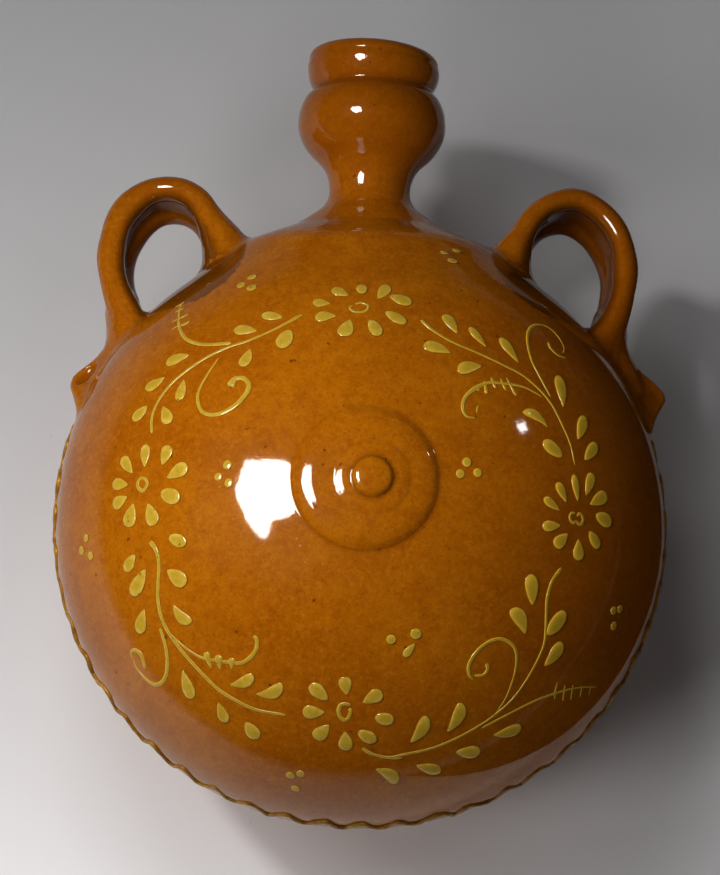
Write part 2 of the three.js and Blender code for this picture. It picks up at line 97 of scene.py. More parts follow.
# Handles. Each loop lies in a plane that leans back from the body's edge, hinged where the middle of the
# loop stands on it. A station is the strap's middle line in that plane, seen on the right-hand side, and
# the section there: front roll, back roll, width, groove, and its shift to the front.
HINGE = math.radians(40)
LOOP_TILT = math.radians(17)
LOOPS = {
    -1: [
        (47.0, 88.5, 18.0, 18.0, 29.0, 0.0, 0.0), (49.6, 97.2, 14.4, 14.4, 27.0, 0.1, 0.0),
        (54.9, 106.9, 9.6, 10.4, 26.0, 0.7, 0.0), (59.0, 113.1, 8.5, 9.6, 26.0, 1.0, 0.0),
        (64.5, 117.1, 8.5, 9.6, 26.0, 1.0, 0.0), (71.0, 118.4, 8.7, 9.8, 26.0, 1.0, 0.0),
        (76.9, 117.0, 8.9, 10.0, 26.0, 1.0, 0.0), (82.3, 112.5, 9.2, 10.2, 26.0, 1.0, 0.0),
        (86.2, 106.1, 9.5, 10.4, 26.0, 1.0, 0.0), (87.9, 99.1, 9.7, 10.6, 26.0, 1.0, 0.0),
        (88.2, 91.0, 9.7, 10.8, 26.0, 0.9, 0.0), (86.9, 83.8, 9.6, 11.0, 25.0, 0.8, 0.0),
        (84.6, 76.9, 9.5, 11.0, 24.0, 0.6, 0.0), (81.8, 70.9, 9.4, 11.0, 23.0, 0.3, 0.0),
        (79.4, 64.9, 9.0, 10.0, 21.0, 0.0, 0.0), (77.0, 58.5, 8.0, 9.0, 18.0, 0.0, 0.0),
    ],
    1: [
        (46.5, 88.2, 17.0, 17.0, 29.0, 0.0, 0.0), (48.6, 96.2, 12.4, 12.4, 27.0, 0.2, 0.0),
        (51.6, 102.9, 8.6, 9.8, 26.0, 0.7, 0.0), (55.9, 110.6, 7.7, 9.2, 26.0, 1.0, 0.0),
        (61.0, 115.9, 7.4, 9.0, 26.0, 1.0, 0.0), (68.0, 119.1, 7.4, 9.0, 26.0, 1.0, 0.0),
        (74.2, 118.9, 7.4, 9.0, 26.0, 1.0, 0.0), (80.7, 114.9, 7.5, 9.0, 26.0, 1.0, 0.0),
        (85.6, 108.2, 7.7, 9.2, 26.0, 1.0, 0.0), (88.0, 100.6, 8.0, 9.4, 26.0, 1.0, 0.0),
        (88.2, 91.5, 8.3, 9.8, 26.0, 0.9, 0.0), (86.9, 82.3, 8.7, 10.2, 25.0, 0.8, 0.0),
        (84.5, 74.2, 9.2, 10.6, 24.0, 0.6, 0.0), (81.4, 68.4, 9.4, 11.0, 23.0, 0.3, 0.0),
        (78.6, 62.0, 9.0, 10.0, 20.0, 0.0, 0.0),
    ],
}

# The tail of each strap, drawn down along the edge.
TAILS = {
    -1: [
        (85.6, 82.0, 5.0, 5.0, 12.0, 0.0, -4.0), (84.4, 73.5, 9.0, 9.0, 18.0, 0.0, -3.5),
        (83.2, 66.5, 11.0, 11.0, 20.0, 0.0, -3.0), (84.0, 59.9, 11.0, 11.0, 18.0, 0.0, -2.5),
        (87.0, 54.2, 10.0, 10.0, 15.0, 0.0, -2.0), (91.0, 48.0, 8.0, 8.0, 11.0, 0.0, -2.0),
    ],
    1: [
        (85.6, 82.0, 5.0, 5.0, 12.0, 0.0, -4.0), (85.0, 73.5, 9.0, 9.0, 18.0, 0.0, -3.5),
        (84.6, 67.4, 11.0, 11.0, 20.0, 0.0, -3.0), (86.4, 61.6, 11.6, 11.6, 18.0, 0.0, -2.5),
        (89.6, 56.0, 10.6, 10.6, 15.0, 0.0, -2.0), (93.0, 49.0, 8.0, 8.0, 11.0, 0.0, -2.0),
    ],
}

# The end of each tail, pinched out to a flat spur: its outline in the same plane, and its thickness.
SPURS = {
    -1: [
        (84.0, 66.0), (88.4, 62.2), (89.6, 59.3), (94.6, 55.6), (98.5, 52.4), (100.8, 49.9), (101.6, 46.5),
        (100.7, 43.6), (99.3, 40.4), (97.0, 36.0), (92.0, 40.0), (84.0, 54.0),
    ],
    1: [
        (86.0, 70.0), (91.3, 64.7), (93.2, 61.8), (95.6, 59.3), (99.1, 57.1), (102.0, 54.1), (104.0, 51.9),
        (104.8, 49.4), (103.0, 45.5), (100.8, 41.1), (98.5, 36.5), (93.0, 41.0), (85.0, 56.0),
    ],
}
SPUR_MIDDLE = -2.0
SPUR_ROUND = 1.7
SPUR_HALF = (3.2, 6.0)
SPUR_TAPER = 0.2
SPUR_TIP = 150.0

# The thumb mark in the front of the left spur: place, half length, half width, depth, slope of its length.
THUMB_MARK = ((95.6, 50.2), 5.2, 2.4, 2.2, -43)
THUMB_SIDE = -1
THUMB_ROUND = 1.6

# Middle of each loop's gap and its reach, for the painted shade on the faces inside the loop.
LOOP_GAP = (69.0, 95.0, 27.0)


def smooth_path(points, count):
    """A Catmull-Rom path through the points, with the given number of steps between each two."""
    p = np.asarray(points, float)
    p = np.vstack([2 * p[0] - p[1], p, 2 * p[-1] - p[-2]])
    t = np.linspace(0, 1, count, endpoint=False)[:, None]
    rows = []
    for a, b, c, d in zip(p, p[1:], p[2:], p[3:]):
        bend, twist = 2 * a - 5 * b + 4 * c - d, 3 * b - a - 3 * c + d
        rows.append(0.5 * (2 * b + (c - a) * t + bend * t**2 + twist * t**3))
    return np.vstack(rows + [p[-2][None]])


def soft_min(a, b, width):
    """The lesser of two distances, with the corner between them filled over the given width."""
    share = np.maximum(width - np.abs(a - b), 0) / width
    return np.minimum(a, b) - share**3 * width / 6


def soft_max(a, b, width):
    return -soft_min(-a, -b, width)


def ease(value, start, end):
    """0 at the start and 1 at the end, smooth between."""
    share = np.clip((value - start) / (end - start), 0, 1)
    return share * share * (3 - 2 * share)


def turned_rise(far, radius, edge, high, foot, power=2):
    """A turned rise at the given distance from its middle: it leaves 0 gently and levels out inside its edge."""
    share = (radius - far) / edge
    share = np.clip((share + np.sqrt(share**2 + foot**2)) / 2, 0, 1)
    return high * (1 - (1 - share) ** power)


def to_outline(u, v, outline):
    """Signed distance to a closed outline in a plane. Its edges along u = 0 are no walls."""
    outline = np.asarray(outline, float)
    best, inside = np.full(u.shape, 1e9), np.zeros(u.shape, bool)
    for a, b in zip(outline, np.roll(outline, -1, 0)):
        ab = b - a
        if max(a[0], b[0]) > 1e-6:
            t = np.clip(((u - a[0]) * ab[0] + (v - a[1]) * ab[1]) / max(ab @ ab, 1e-9), 0, 1)
            best = np.minimum(best, np.hypot(u - a[0] - t * ab[0], v - a[1] - t * ab[1]))
        if a[1] != b[1]:
            inside ^= ((v < a[1]) != (v < b[1])) & (u < a[0] + (v - a[1]) / ab[1] * ab[0])
    return np.where(inside, -best, best)


class Turned:
    """Signed distance to a turned outline, kept in a table over radius and place along the axis."""

    STEP = 0.3

    def __init__(self, outline, low, high, reach):
        self.low = low
        radius = np.arange(0, reach + self.STEP, self.STEP)
        place = np.arange(low, high + self.STEP, self.STEP)
        self.table = to_outline(*np.meshgrid(radius, place, indexing="ij"), outline)

    def __call__(self, radius, place):
        t = self.table
        u = np.clip(radius / self.STEP, 0, t.shape[0] - 1.001)
        v = np.clip((place - self.low) / self.STEP, 0, t.shape[1] - 1.001)
        i, j = u.astype(int), v.astype(int)
        f, g = u - i, v - j
        near = t[i, j] * (1 - f) + t[i + 1, j] * f
        far = t[i, j + 1] * (1 - f) + t[i + 1, j + 1] * f
        return near * (1 - g) + far * g


class Strap:
    """Signed distance to a grooved strap along a line: two rolls with a thinner web between them."""

    STEPS = 12
    GROOVE = 0.46
    WEB_MELT = 3.6

    def __init__(self, stations):
        path = smooth_path(stations, self.STEPS)
        self.line, self.section = path[:, :2], path[:, 2:]
        along = np.gradient(self.line, axis=0)
        self.along = along / np.linalg.norm(along, axis=1)[:, None]

    def __call__(self, u, v, w):
        gap = (u[:, None] - self.line[:, 0]) ** 2 + (v[:, None] - self.line[:, 1]) ** 2
        near = np.clip(gap.argmin(1), 1, len(self.line) - 2)
        # the place between stations, from the two steps next to the nearest one
        tu, tv = self.along[near].T
        ahead = (u - self.line[near, 0]) * tu + (v - self.line[near, 1]) * tv
        pace = np.hypot(*(self.line[near + 1] - self.line[near - 1]).T) / 2
        shift = np.clip(ahead / pace, -1, 1)
        other = near + np.where(shift > 0, 1, -1)
        share = np.abs(shift)[:, None]
        between = [rows[near] * (1 - share) + rows[other] * share for rows in (self.section, self.along, self.line)]
        (front, back, wide, groove, middle), (tu, tv), (pu, pv) = (rows.T for rows in between)
        out = (tv * (pu - u) - tu * (pv - v)) / np.hypot(tu, tv)
        past = np.maximum(np.abs(ahead) - pace * 1.2, 0)
        w = w - middle
        front, back = front / 2, back / 2
        high, low = np.maximum(wide / 2 - front, 0.01), np.maximum(wide / 2 - back, 0.01)
        rolls = np.minimum(np.hypot(out, w - high) - front, np.hypot(out, w + low) - back)
        level = np.clip((w + low) / (high + low), 0, 1)
        thick = (back + (front - back) * level) * (1 - self.GROOVE * groove)
        web = np.maximum(np.abs(out) - thick, np.maximum(w - high, -low - w))
        d = soft_min(rolls, web, self.WEB_MELT)
        return np.hypot(np.maximum(d, 0), past) + np.minimum(d, 0)


NECK_ROOT = [(0.0, 80.0), (39.2, 88.0)]
NECK_TOP = [(0.0, 166.5)]
NECK = Turned(NECK_ROOT + list(smooth_path(NECK_OUTLINE, 6)) + NECK_TOP, low=40.0, high=200.0, reach=96.0)
BORE_CUT = Turned(BORE, low=90.0, high=200.0, reach=40.0)
LOOP = {side: Strap(stations) for side, stations in LOOPS.items()}
TAIL = {side: Strap(stations) for side, stations in TAILS.items()}


def body_shape(x, y, z):
    """The two bowls, one ellipsoid, with the boss and nipple on the front and the flat at the back."""
    a, b, c = x / BODY[0], y / BODY[1], z / BODY[2]
    k = np.sqrt(a * a + b * b + c * c)
    slope = np.sqrt((a / BODY[0]) ** 2 + (b / BODY[1]) ** 2 + (c / BODY[2]) ** 2) + 1e-9
    d = k * (k - 1) / slope
    boss = np.hypot(x, y)
    nipple = np.hypot(x - NIPPLE_PLACE[0], y - NIPPLE_PLACE[1])
    # the foot of the boss is crisp on the near right and wiped soft on the far left
    wiped = BOSS_WIPED[0] - BOSS_WIPED[1] * (x - y) / np.maximum(boss, 1)
    rise = turned_rise(boss, **BOSS) + turned_rise(boss, foot=wiped, **BOSS_STEP)
    for form in (SKIRT, NIPPLE, NIPPLE_STEP):
        rise = rise + turned_rise(nipple, **form)
    d = d - rise * np.clip((z - FRONT_FADE[0]) / (FRONT_FADE[1] - FRONT_FADE[0]), 0, 1)
    # slow unevenness of hand throwing
    d = d + 0.16 * np.sin(0.047 * x + 0.9) * np.sin(0.058 * y + 0.4) + 0.1 * np.sin(0.11 * y - 0.07 * x + 0.05 * z)
    return soft_max(d, -(z + REST), BASE_ROUND)


def neck_shape(x, y, z):
    deep = z * (1 + NECK_FOOT_FLAT * ease(y, *NECK_FOOT))
    y = y + COLLAR_LEAN * x * ease(y, *COLLAR)
    return NECK(np.hypot(x, deep), y) + 0.12 * np.sin(0.21 * y + 0.11 * x)


def spur_half(u, v):
    """Half the thickness of a spur: it thins towards its tip."""
    return np.clip(SPUR_HALF[0] + SPUR_TAPER * (SPUR_TIP - u - v), *SPUR_HALF)


def spur_shape(u, v, w, side):
    """A flat spur of the given outline with rounded edges."""
    flat = to_outline(u, v, SPURS[side]) + SPUR_ROUND
    deep = np.abs(w - SPUR_MIDDLE) - spur_half(u, v) + SPUR_ROUND
    outer = np.hypot(np.maximum(flat, 0), np.maximum(deep, 0))
    return np.minimum(np.maximum(flat, deep), 0) + outer - SPUR_ROUND


def thumb_shape(u, v, w):
    """The thumb that presses into the front of a spur."""
    (pu, pv), long, wide, deep, slope = THUMB_MARK
    c, s = math.cos(math.radians(slope)), math.sin(math.radians(slope))
    along, across = (u - pu) * c + (v - pv) * s, (v - pv) * c - (u - pu) * s
    sunk = w - SPUR_MIDDLE - spur_half(u, v)
    return (np.sqrt((along / long) ** 2 + (across / wide) ** 2 + (sunk / deep) ** 2) - 1) * wide


def handle_shape(x, y, z, side):
    """One handle: the loop, its tail and its spur, in the plane of the loop."""
    c, s = math.cos(HINGE), math.sin(HINGE)
    lean_c, lean_s = math.cos(LOOP_TILT), math.sin(LOOP_TILT)
    across, up = side * x - BODY_RADIUS * s, y - BODY_RADIUS * c
    along, out = across * c - up * s, across * s + up * c
    reach, w = out * lean_c - z * lean_s, z * lean_c + out * lean_s
    u, v = BODY_RADIUS * s + along * c + reach * s, BODY_RADIUS * c - along * s + reach * c
    strap = soft_min(LOOP[side](u, v, w), TAIL[side](u, v, w), TAIL_MELT)
    handle = soft_min(strap, spur_shape(u, v, w, side), SPUR_MELT)
    if side == THUMB_SIDE:
        handle = soft_max(handle, -thumb_shape(u, v, w), THUMB_ROUND)
    # slow unevenness of hand pulling
    return handle + 0.2 * np.sin(0.19 * x + 0.13 * y) + 0.15 * np.sin(0.31 * y - 0.2 * z + 0.8)


def clay(x, y, z, parts=False):
    """Signed distance to the clay; with parts, the distances to body, neck and handles instead."""
    x, y, z = (np.array(v, float) for v in np.broadcast_arrays(x, y, z))
    d = body_shape(x, y, z)
    body, neck, handle = d, np.full(d.shape, FAR), np.full(d.shape, FAR)
    axis = np.hypot(x, z)
    # each form is worked out only in the space that it can reach
    near = (y > 45) & (axis < 90)
    if near.any():
        neck[near] = neck_shape(x[near], y[near], z[near])
        d = soft_min(d, neck, NECK_MELT)
    for side in (-1, 1):
        near = (side * x > 30) & (y > 25) & (y < 138) & (np.abs(z) < 34)
        if near.any():
            handle[near] = handle_shape(x[near], y[near], z[near], side)
    d = soft_min(d, handle, STRAP_MELT)
    near = (y > 95) & (axis < 34)
    if near.any():
        d = np.where(near, soft_max(d, -BORE_CUT(axis, y), BORE_ROUND), d)
    return (body, neck, handle) if parts else d


def clay_slope(p, step):
    """The clay's distance at points p, its gradient, and the bend of its surface over the same step."""
    middle = clay(*p.T)
    slope = np.empty_like(p)
    bend = np.zeros(len(p))
    for axis in range(3):
        shift = np.zeros(3)
        shift[axis] = step
        more, less = clay(*(p + shift).T), clay(*(p - shift).T)
        slope[:, axis] = (more - less) / (2 * step)
        bend += (more + less - 2 * middle) / step**2
    return middle, slope, bend


# ---------------------------------------------------------------------------------------------------
# The skin of the clay: a grid that is finer round the boss and on the neck, as (from, step) along each axis.

GRID = [
    [(-109, 1.4), (-30, 0.8), (30, 1.4), (109, 0)],
    [(-108.5, 1.4), (-29, 0.8), (29, 1.4), (100, 1.1), (174, 0)],
    [(-67, 1.4), (58, 0.8), (82, 0)],
]
CORNERS = [(i, j, k) for i in (0, 1) for j in (0, 1) for k in (0, 1)]
FINE_BEND = 0.9
BROAD_BEND = 2.6


def spaced(stops):
    """Grid lines through [(from, step), ...] up to the last place."""
    lines = [stops[0][0]]
    for (start, step), (end, _) in zip(stops, stops[1:]):
        lines += list(np.linspace(start, end, max(1, round((end - start) / step)) + 1)[1:])
    return np.array(lines)


def skin_points(field, lines):
    """A vertex in each cell that the surface passes, at the mean of its crossings, and the cells' numbers."""
    inside = field < 0
    count = np.zeros(tuple(n - 1 for n in field.shape), np.int8)
    for corner in CORNERS:
        count += inside[tuple(slice(s, n - 1 + s) for s, n in zip(corner, field.shape))]
    cells = np.argwhere((count > 0) & (count < len(CORNERS)))
    number = np.full(count.shape, -1, np.int64)
    number[tuple(cells.T)] = np.arange(len(cells))
    total, hits = np.zeros((len(cells), 3)), np.zeros(len(cells))
    for corner, axis in ((c, n) for c in CORNERS for n in range(3) if not c[n]):
        a = cells + np.array(corner)
        b = a + np.eye(3, dtype=int)[axis]
        fa, fb = field[tuple(a.T)], field[tuple(b.T)]
        crossed = (fa < 0) != (fb < 0)
        share = np.where(crossed, fa / np.where(crossed, fa - fb, 1), 0)
        place = np.stack([lines[n][a[:, n]] for n in range(3)], 1)
        place[:, axis] += share * (lines[axis][b[:, axis]] - lines[axis][a[:, axis]])
        total += place * crossed[:, None]
        hits += crossed
    return total / hits[:, None], number


def skin_quads(inside, number):
    """A face across each grid edge that the surface passes, from the four cells round it, looking outward."""
    quads = []
    for axis in range(3):
        one = tuple(slice(0, -1) if n == axis else slice(1, -1) for n in range(3))
        two = tuple(slice(1, None) if n == axis else slice(1, -1) for n in range(3))
        spots = np.argwhere(inside[one] != inside[two]) + (np.arange(3) != axis)
        ring = []
        for u, v in ((1, 1), (0, 1), (0, 0), (1, 0)):
            cell = spots.copy()
            cell[:, (axis + 1) % 3] -= u
            cell[:, (axis + 2) % 3] -= v
            ring.append(number[tuple(cell.T)])
        ring = np.stack(ring, 1)
        quads.append(np.where(inside[tuple(spots.T)][:, None], ring, ring[:, ::-1]))
    return np.vstack(quads)


def inner_faces(points, normals):
    """How far each point looks into the gap of a loop, for the painted shade there."""
    inner = np.zeros(len(points))
    for side in (-1, 1):
        to_gap = np.array([side * LOOP_GAP[0], LOOP_GAP[1]]) - points[:, :2]
        far = np.linalg.norm(to_gap, axis=1)
        facing = (to_gap * normals[:, :2]).sum(1) / np.maximum(far, 1)
        inner = np.maximum(inner, np.clip(facing, 0, 1) * (far < LOOP_GAP[2]))
    return inner


def clay_skin():
    """The surface of the clay: points drawn onto it, quads, normals, and the marks that the glaze is painted by."""
    lines = [spaced(stops) for stops in GRID]
    xs, ys, zs = lines
    field = np.stack([clay(xs[:, None], y, zs[None, :]) for y in ys], 1)
    points, number = skin_points(field, lines)
    quads = skin_quads(field < 0, number)
    for _ in range(3):
        d, slope, _ = clay_slope(points, 0.15)
        move = -(d / np.maximum((slope**2).sum(1), 0.2))[:, None] * slope
        points = points + np.clip(move, -0.6, 0.6)
    _, slope, _ = clay_slope(points, 0.25)
    normals = slope / np.linalg.norm(slope, axis=1)[:, None]
    bends = {name: np.clip(clay_slope(points, step)[2], -1, 1)
             for name, step in (("fine_bend", FINE_BEND), ("broad_bend", BROAD_BEND))}
    return points, quads, normals, {**bends, "inner_face": inner_faces(points, normals)}


# ---------------------------------------------------------------------------------------------------
# Nodes: one class for sums with sockets, one for the sheet that they are on.


class Value:
    """A socket that can be written into sums. Math nodes are added for what is written."""

    def __init__(self, sheet, socket):
        self.sheet, self.socket = sheet, socket

    def sum(self, operation, *terms):
        return self.sheet.node("ShaderNodeMath", {"operation": operation}, dict(enumerate(terms)))

    def __add__(self, other):
        return self.sum("ADD", self, other)

    def __radd__(self, other):
        return self.sum("ADD", other, self)

    def __sub__(self, other):
        return self.sum("SUBTRACT", self, other)

    def __rsub__(self, other):
        return self.sum("SUBTRACT", other, self)

    def __mul__(self, other):
        return self.sum("MULTIPLY", self, other)

    def __rmul__(self, other):
        return self.sum("MULTIPLY", other, self)

    def __truediv__(self, other):
        return self.sum("DIVIDE", self, other)

    def __rtruediv__(self, other):
        return self.sum("DIVIDE", other, self)

    def __pow__(self, other):
        return self.sum("POWER", self, other)

    def __neg__(self):
        return self.sum("MULTIPLY", self, -1.0)

    def between(self, low, high):
        return self.sum("MINIMUM", self.sum("MAXIMUM", self, low), high)


class Sheet:
    """The nodes of one material, world or Geometry Nodes tree."""

    def __init__(self, tree):
        self.tree = tree

    def node(self, kind, settings=None, sockets=None, out=0):
        """Adds a node: its settings first, then values or links on its sockets; gives the named output."""
        node = self.tree.nodes.new(kind)
        for name, value in (settings or {}).items():
            setattr(node, name, value)
        for key, value in (sockets or {}).items():
            socket = self.found(node.inputs, key)
            if isinstance(value, Value):
                self.tree.links.new(value.socket, socket)
            else:
                socket.default_value = value
        return Value(self, self.found(node.outputs, out)) if len(node.outputs) else node

    def found(self, sockets, key):
        """A socket by its number, identifier or name."""
        return sockets[key] if isinstance(key, int) else next(s for s in sockets if key in (s.identifier, s.name))

    def place(self):
        return self.node("ShaderNodeTexCoord", out="Object")

    def mark(self, name):
        """A value stored on the points of the mesh."""
        return self.node("ShaderNodeAttribute", {"attribute_name": name}, out="Fac")

    def axes(self, vector):
        return [self.node("ShaderNodeSeparateXYZ", {}, {0: vector}, n) for n in range(3)]

    def vector(self, operation, *terms, scale=None):
        sockets = dict(enumerate(terms))
        if scale is not None:
            sockets["Scale"] = scale
        out = 1 if operation in ("DOT_PRODUCT", "LENGTH", "DISTANCE") else 0
        return self.node("ShaderNodeVectorMath", {"operation": operation}, sockets, out)

    def mix(self, share, one, two):
        """One colour going over into another."""
        one, two = ((*c, 1) if isinstance(c, tuple) and len(c) == 3 else c for c in (one, two))
        sockets = {"Factor_Float": share, "A_Color": one, "B_Color": two}
        return self.node("ShaderNodeMix", {"data_type": "RGBA", "clamp_factor": True}, sockets, "Result_Color")

    def noise(self, where, scale, detail=2.0, roughness=0.5, warp=0.0):
        sockets = {"Vector": where, "Scale": scale, "Detail": detail, "Roughness": roughness, "Distortion": warp}
        return self.node("ShaderNodeTexNoise", {}, sockets, "Fac")

    def step(self, value, low, high):
        """0 under low, 1 over high, smooth between."""
        sockets = {"Value": value, "From Min": low, "From Max": high, "To Min": 0.0, "To Max": 1.0}
        return self.node("ShaderNodeMapRange", {"interpolation_type": "SMOOTHSTEP"}, sockets)


def new_material(name):
    material = bpy.data.materials.new(name)
    material.use_nodes = True
    material.node_tree.nodes.clear()
    return material, Sheet(material.node_tree)


def shaded(sheet, sockets, bump=None, depth=0.0001):
    """A Principled shader with the given sockets, and a bump of that many metres, as the surface."""
    if bump is not None:
        sockets["Normal"] = sheet.node("ShaderNodeBump", {}, {"Strength": 1.0, "Distance": depth, "Height": bump})
    shader = sheet.node("ShaderNodeBsdfPrincipled", {}, sockets)
    sheet.node("ShaderNodeOutputMaterial", {}, {"Surface": shader})


def glaze_material():
    """Honey glaze on red clay: dark where it pools in hollows, specked, uneven, and bare under the back; painted
    shade on the inner faces of the loops, on the neck and towards the right.
    """
    material, s = new_material("honey_glaze")
    where = s.place()
    x, y, z = s.axes(where)
    fine = s.mark("fine_bend")
    broad = s.mark("broad_bend")
    inner = s.mark("inner_face")
    cloud = s.noise(where, 24.0, 3.0, 0.55, 0.4)
    mottle = s.noise(where, 210.0, 4.0, 0.6)
    blotch = s.noise(where, 520.0, 3.0, 0.6)
    grain = s.noise(where, 1150.0, 2.0, 0.6)
    brush = s.noise(s.vector("MULTIPLY", where, (60.0, 520.0, 260.0)), 1.0, 3.0, 0.6, 0.6)
    colour = s.mix(s.step(cloud, 0.34, 0.68), (0.44, 0.136, 0.002), (0.53, 0.182, 0.003))
    colour = s.mix(s.step(mottle, 0.4, 0.7) * 0.5, colour, (0.36, 0.098, 0.002))
    colour = s.mix(s.step(blotch, 0.45, 0.75) * 0.6, colour, (0.6, 0.222, 0.011))
    colour = s.mix(s.step(brush, 0.5, 0.75) * 0.22, colour, (0.56, 0.215, 0.008))
    colour = s.mix(s.step(grain, 0.48, 0.74) * 0.5, colour, (0.29, 0.078, 0.0016))
    # painted shade: darker on the neck and towards the right, where less light falls
    colour = s.mix(s.step(y, 0.1, 0.135) * 0.52, colour, (0.27, 0.068, 0.0012))
    colour = s.mix(s.step(x, 0.03, 0.1) * 0.46, colour, (0.27, 0.058, 0.0012))
    pool = s.step(-fine, 0.06, 0.6)
    colour = s.mix(pool * 0.26, colour, (0.13, 0.034, 0.001))
    colour = s.mix(s.step(-broad, 0.02, 0.2) * 0.3, colour, (0.25, 0.068, 0.0012))
    colour = s.mix(s.step(broad, 0.12, 0.5) * 0.25, colour, (0.54, 0.19, 0.004))
    # painted shade: the faces inside the loops are darkened as if out of the light
    colour = s.mix(s.step(inner, 0.25, 0.8) * 0.7, colour, (0.12, 0.033, 0.0012))
    dust = s.noise(where, 420.0, 1.0, 0.4)
    size = s.noise(where, 90.0, 2.0, 0.5)
    speck = s.step(dust + (size - 0.5) * 0.12, 0.765, 0.79)
    colour = s.mix(speck * 0.6, colour, (0.08, 0.02, 0.002))
    # the flat under the back was wiped clean before firing
    ragged = z + (s.noise(where, 70.0, 3.0, 0.6) - 0.5) * 0.006
    bare = 1 - s.step(ragged, 0.0012, 0.0026)
    clay_colour = s.mix(s.noise(where, 260.0, 4.0, 0.7), (0.33, 0.12, 0.055), (0.47, 0.2, 0.1))
    colour = s.mix(bare, colour, clay_colour)
    peel = s.noise(where, 190.0, 2.0, 0.5)
    pin = s.noise(where, 900.0, 2.0, 0.5)
    pit = s.step(s.noise(where, 560.0, 1.0, 0.4), 0.74, 0.8)
    height = peel * 0.8 + pin * 0.12 + pit * 0.7 + bare * s.noise(where, 700.0, 4.0, 0.7) * 6.0
    rough = 0.045 + mottle * 0.03 + bare * 0.6
    shaded(s, {"Base Color": colour, "Roughness": rough, "IOR": 1.5}, height, 0.00003)
    return material


def slip_material():
    """Pale yellow slip under the same glaze: painted light makes it brighter and warmer to the right; deeper where
    thick, and brown round its foot, where it thins and the glaze pools, with painted shade there too.
    """
    material, s = new_material("yellow_slip")
    where = s.place()
    height = s.mark("height")
    mottle = s.noise(where, 420.0, 3.0, 0.6)
    patch = s.noise(where, 120.0, 2.0, 0.5)
    colour = s.mix(s.step(mottle, 0.35, 0.7), (0.63, 0.4, 0.042), (0.745, 0.51, 0.09))
    # painted light: the slip is brighter and warmer to the right, as if more light falls there
    side = s.axes(where)[0]
    colour = s.mix(s.step(side, 0.0, 0.08) * 0.9, colour, (0.92, 0.575, 0.05))
    thick = s.step(height + (patch - 0.5) * 0.4, 0.6, 0.98)
    colour = s.mix(thick * 0.6, colour, (0.54, 0.345, 0.024))
    # brown round the foot of each trail and drop: partly glaze showing through the thin slip, partly painted shade at
    # the foot
    foot = 1 - s.step(height + (mottle - 0.5) * 0.25, 0.08, 0.42)
    colour = s.mix(foot * 0.85, colour, (0.24, 0.083, 0.002))
    speck = s.step(s.noise(where, 700.0, 1.0, 0.4), 0.74, 0.78)
    colour = s.mix(speck * 0.7, colour, (0.12, 0.05, 0.006))
    peel = s.noise(where, 500.0, 2.0, 0.5)
    shaded(s, {"Base Color": colour, "Roughness": 0.06 + mottle * 0.05, "IOR": 1.5}, peel, 0.00004)
    return material


def worn_slip_material():
    """The slip of the edge wave: thinner, so that the brown glaze shows through, and dull with handling."""
    material, s = new_material("worn_slip")
    where = s.place()
    patch = s.noise(where, 240.0, 3.0, 0.6)
    colour = s.mix(s.step(patch, 0.35, 0.65), (0.36, 0.15, 0.006), (0.56, 0.31, 0.03))
    shaded(s, {"Base Color": colour, "Roughness": 0.3 + patch * 0.2, "IOR": 1.45})
    return material


def table_material():
    """A pale painted board, a little scuffed, with painted light making it paler towards the near side and the right.
    """
    material, s = new_material("pale_board")
    where = s.place()
    x, y, _ = s.axes(where)
    # painted light: the board grows paler towards the near side and the right, as a lamp's falloff would make it
    slope = x.between(-0.16, 0.16) - y.between(-0.16, 0.4) * 3.0
    share = slope.sum("EXPONENT", slope) * 0.6
    colour = s.mix(share, (0.0, 0.0, 0.0), (1.0, 0.985, 0.99))
    wide = s.noise(where, 3.0, 3.0, 0.5)
    colour = s.mix(s.step(wide, 0.3, 0.7) * 0.1, colour, (0.5, 0.49, 0.52))
    fleck = s.step(s.noise(where, 160.0, 2.0, 0.5), 0.74, 0.8)
    colour = s.mix(fleck * 0.3, colour, (0.3, 0.28, 0.32))
    shaded(s, {"Base Color": colour, "Roughness": 0.55, "IOR": 1.45}, s.noise(where, 300.0, 2.0, 0.5), 0.00005)
    return material


def wall_material():
    """The wall round the window, lit by it: bright next to it and dark further off."""
    material, s = new_material("wall_glow")
    where = s.place()
    far = s.vector("DISTANCE", where, WINDOW_PLACE)
    glow = s.mix(1 - s.step(far, 0.1, WALL_REACH), (0.0, 0.0, 0.0), (0.17, 0.17, 0.18))
    shaded(s, {"Base Color": (0.0, 0.0, 0.0, 1), "Emission Color": glow, "Emission Strength": 1.0})
    return material


def window_material():
    material, s = new_material("window_glow")
    shaded(s, {"Base Color": (0.0, 0.0, 0.0, 1), "Emission Color": (1.0, 0.99, 0.97, 1), "Emission Strength": 32.0})
    return material


def shade_card_material():
    """A black sheet, a little uneven: painted shade that stands for the shaded table in the glaze's reflection."""
    material, s = new_material("black_felt")
    where = s.place()
    colour = s.mix(s.noise(where, 90.0, 3.0, 0.6), (0.006, 0.006, 0.006), (0.014, 0.013, 0.012))
    shaded(s, {"Base Color": colour, "Roughness": 0.9, "IOR": 1.3})
    return material


# ---------------------------------------------------------------------------------------------------
# Making pieces


def add_object(name, mesh):
    obj = bpy.data.objects.new(name, mesh)
    bpy.context.scene.collection.objects.link(obj)
    return obj


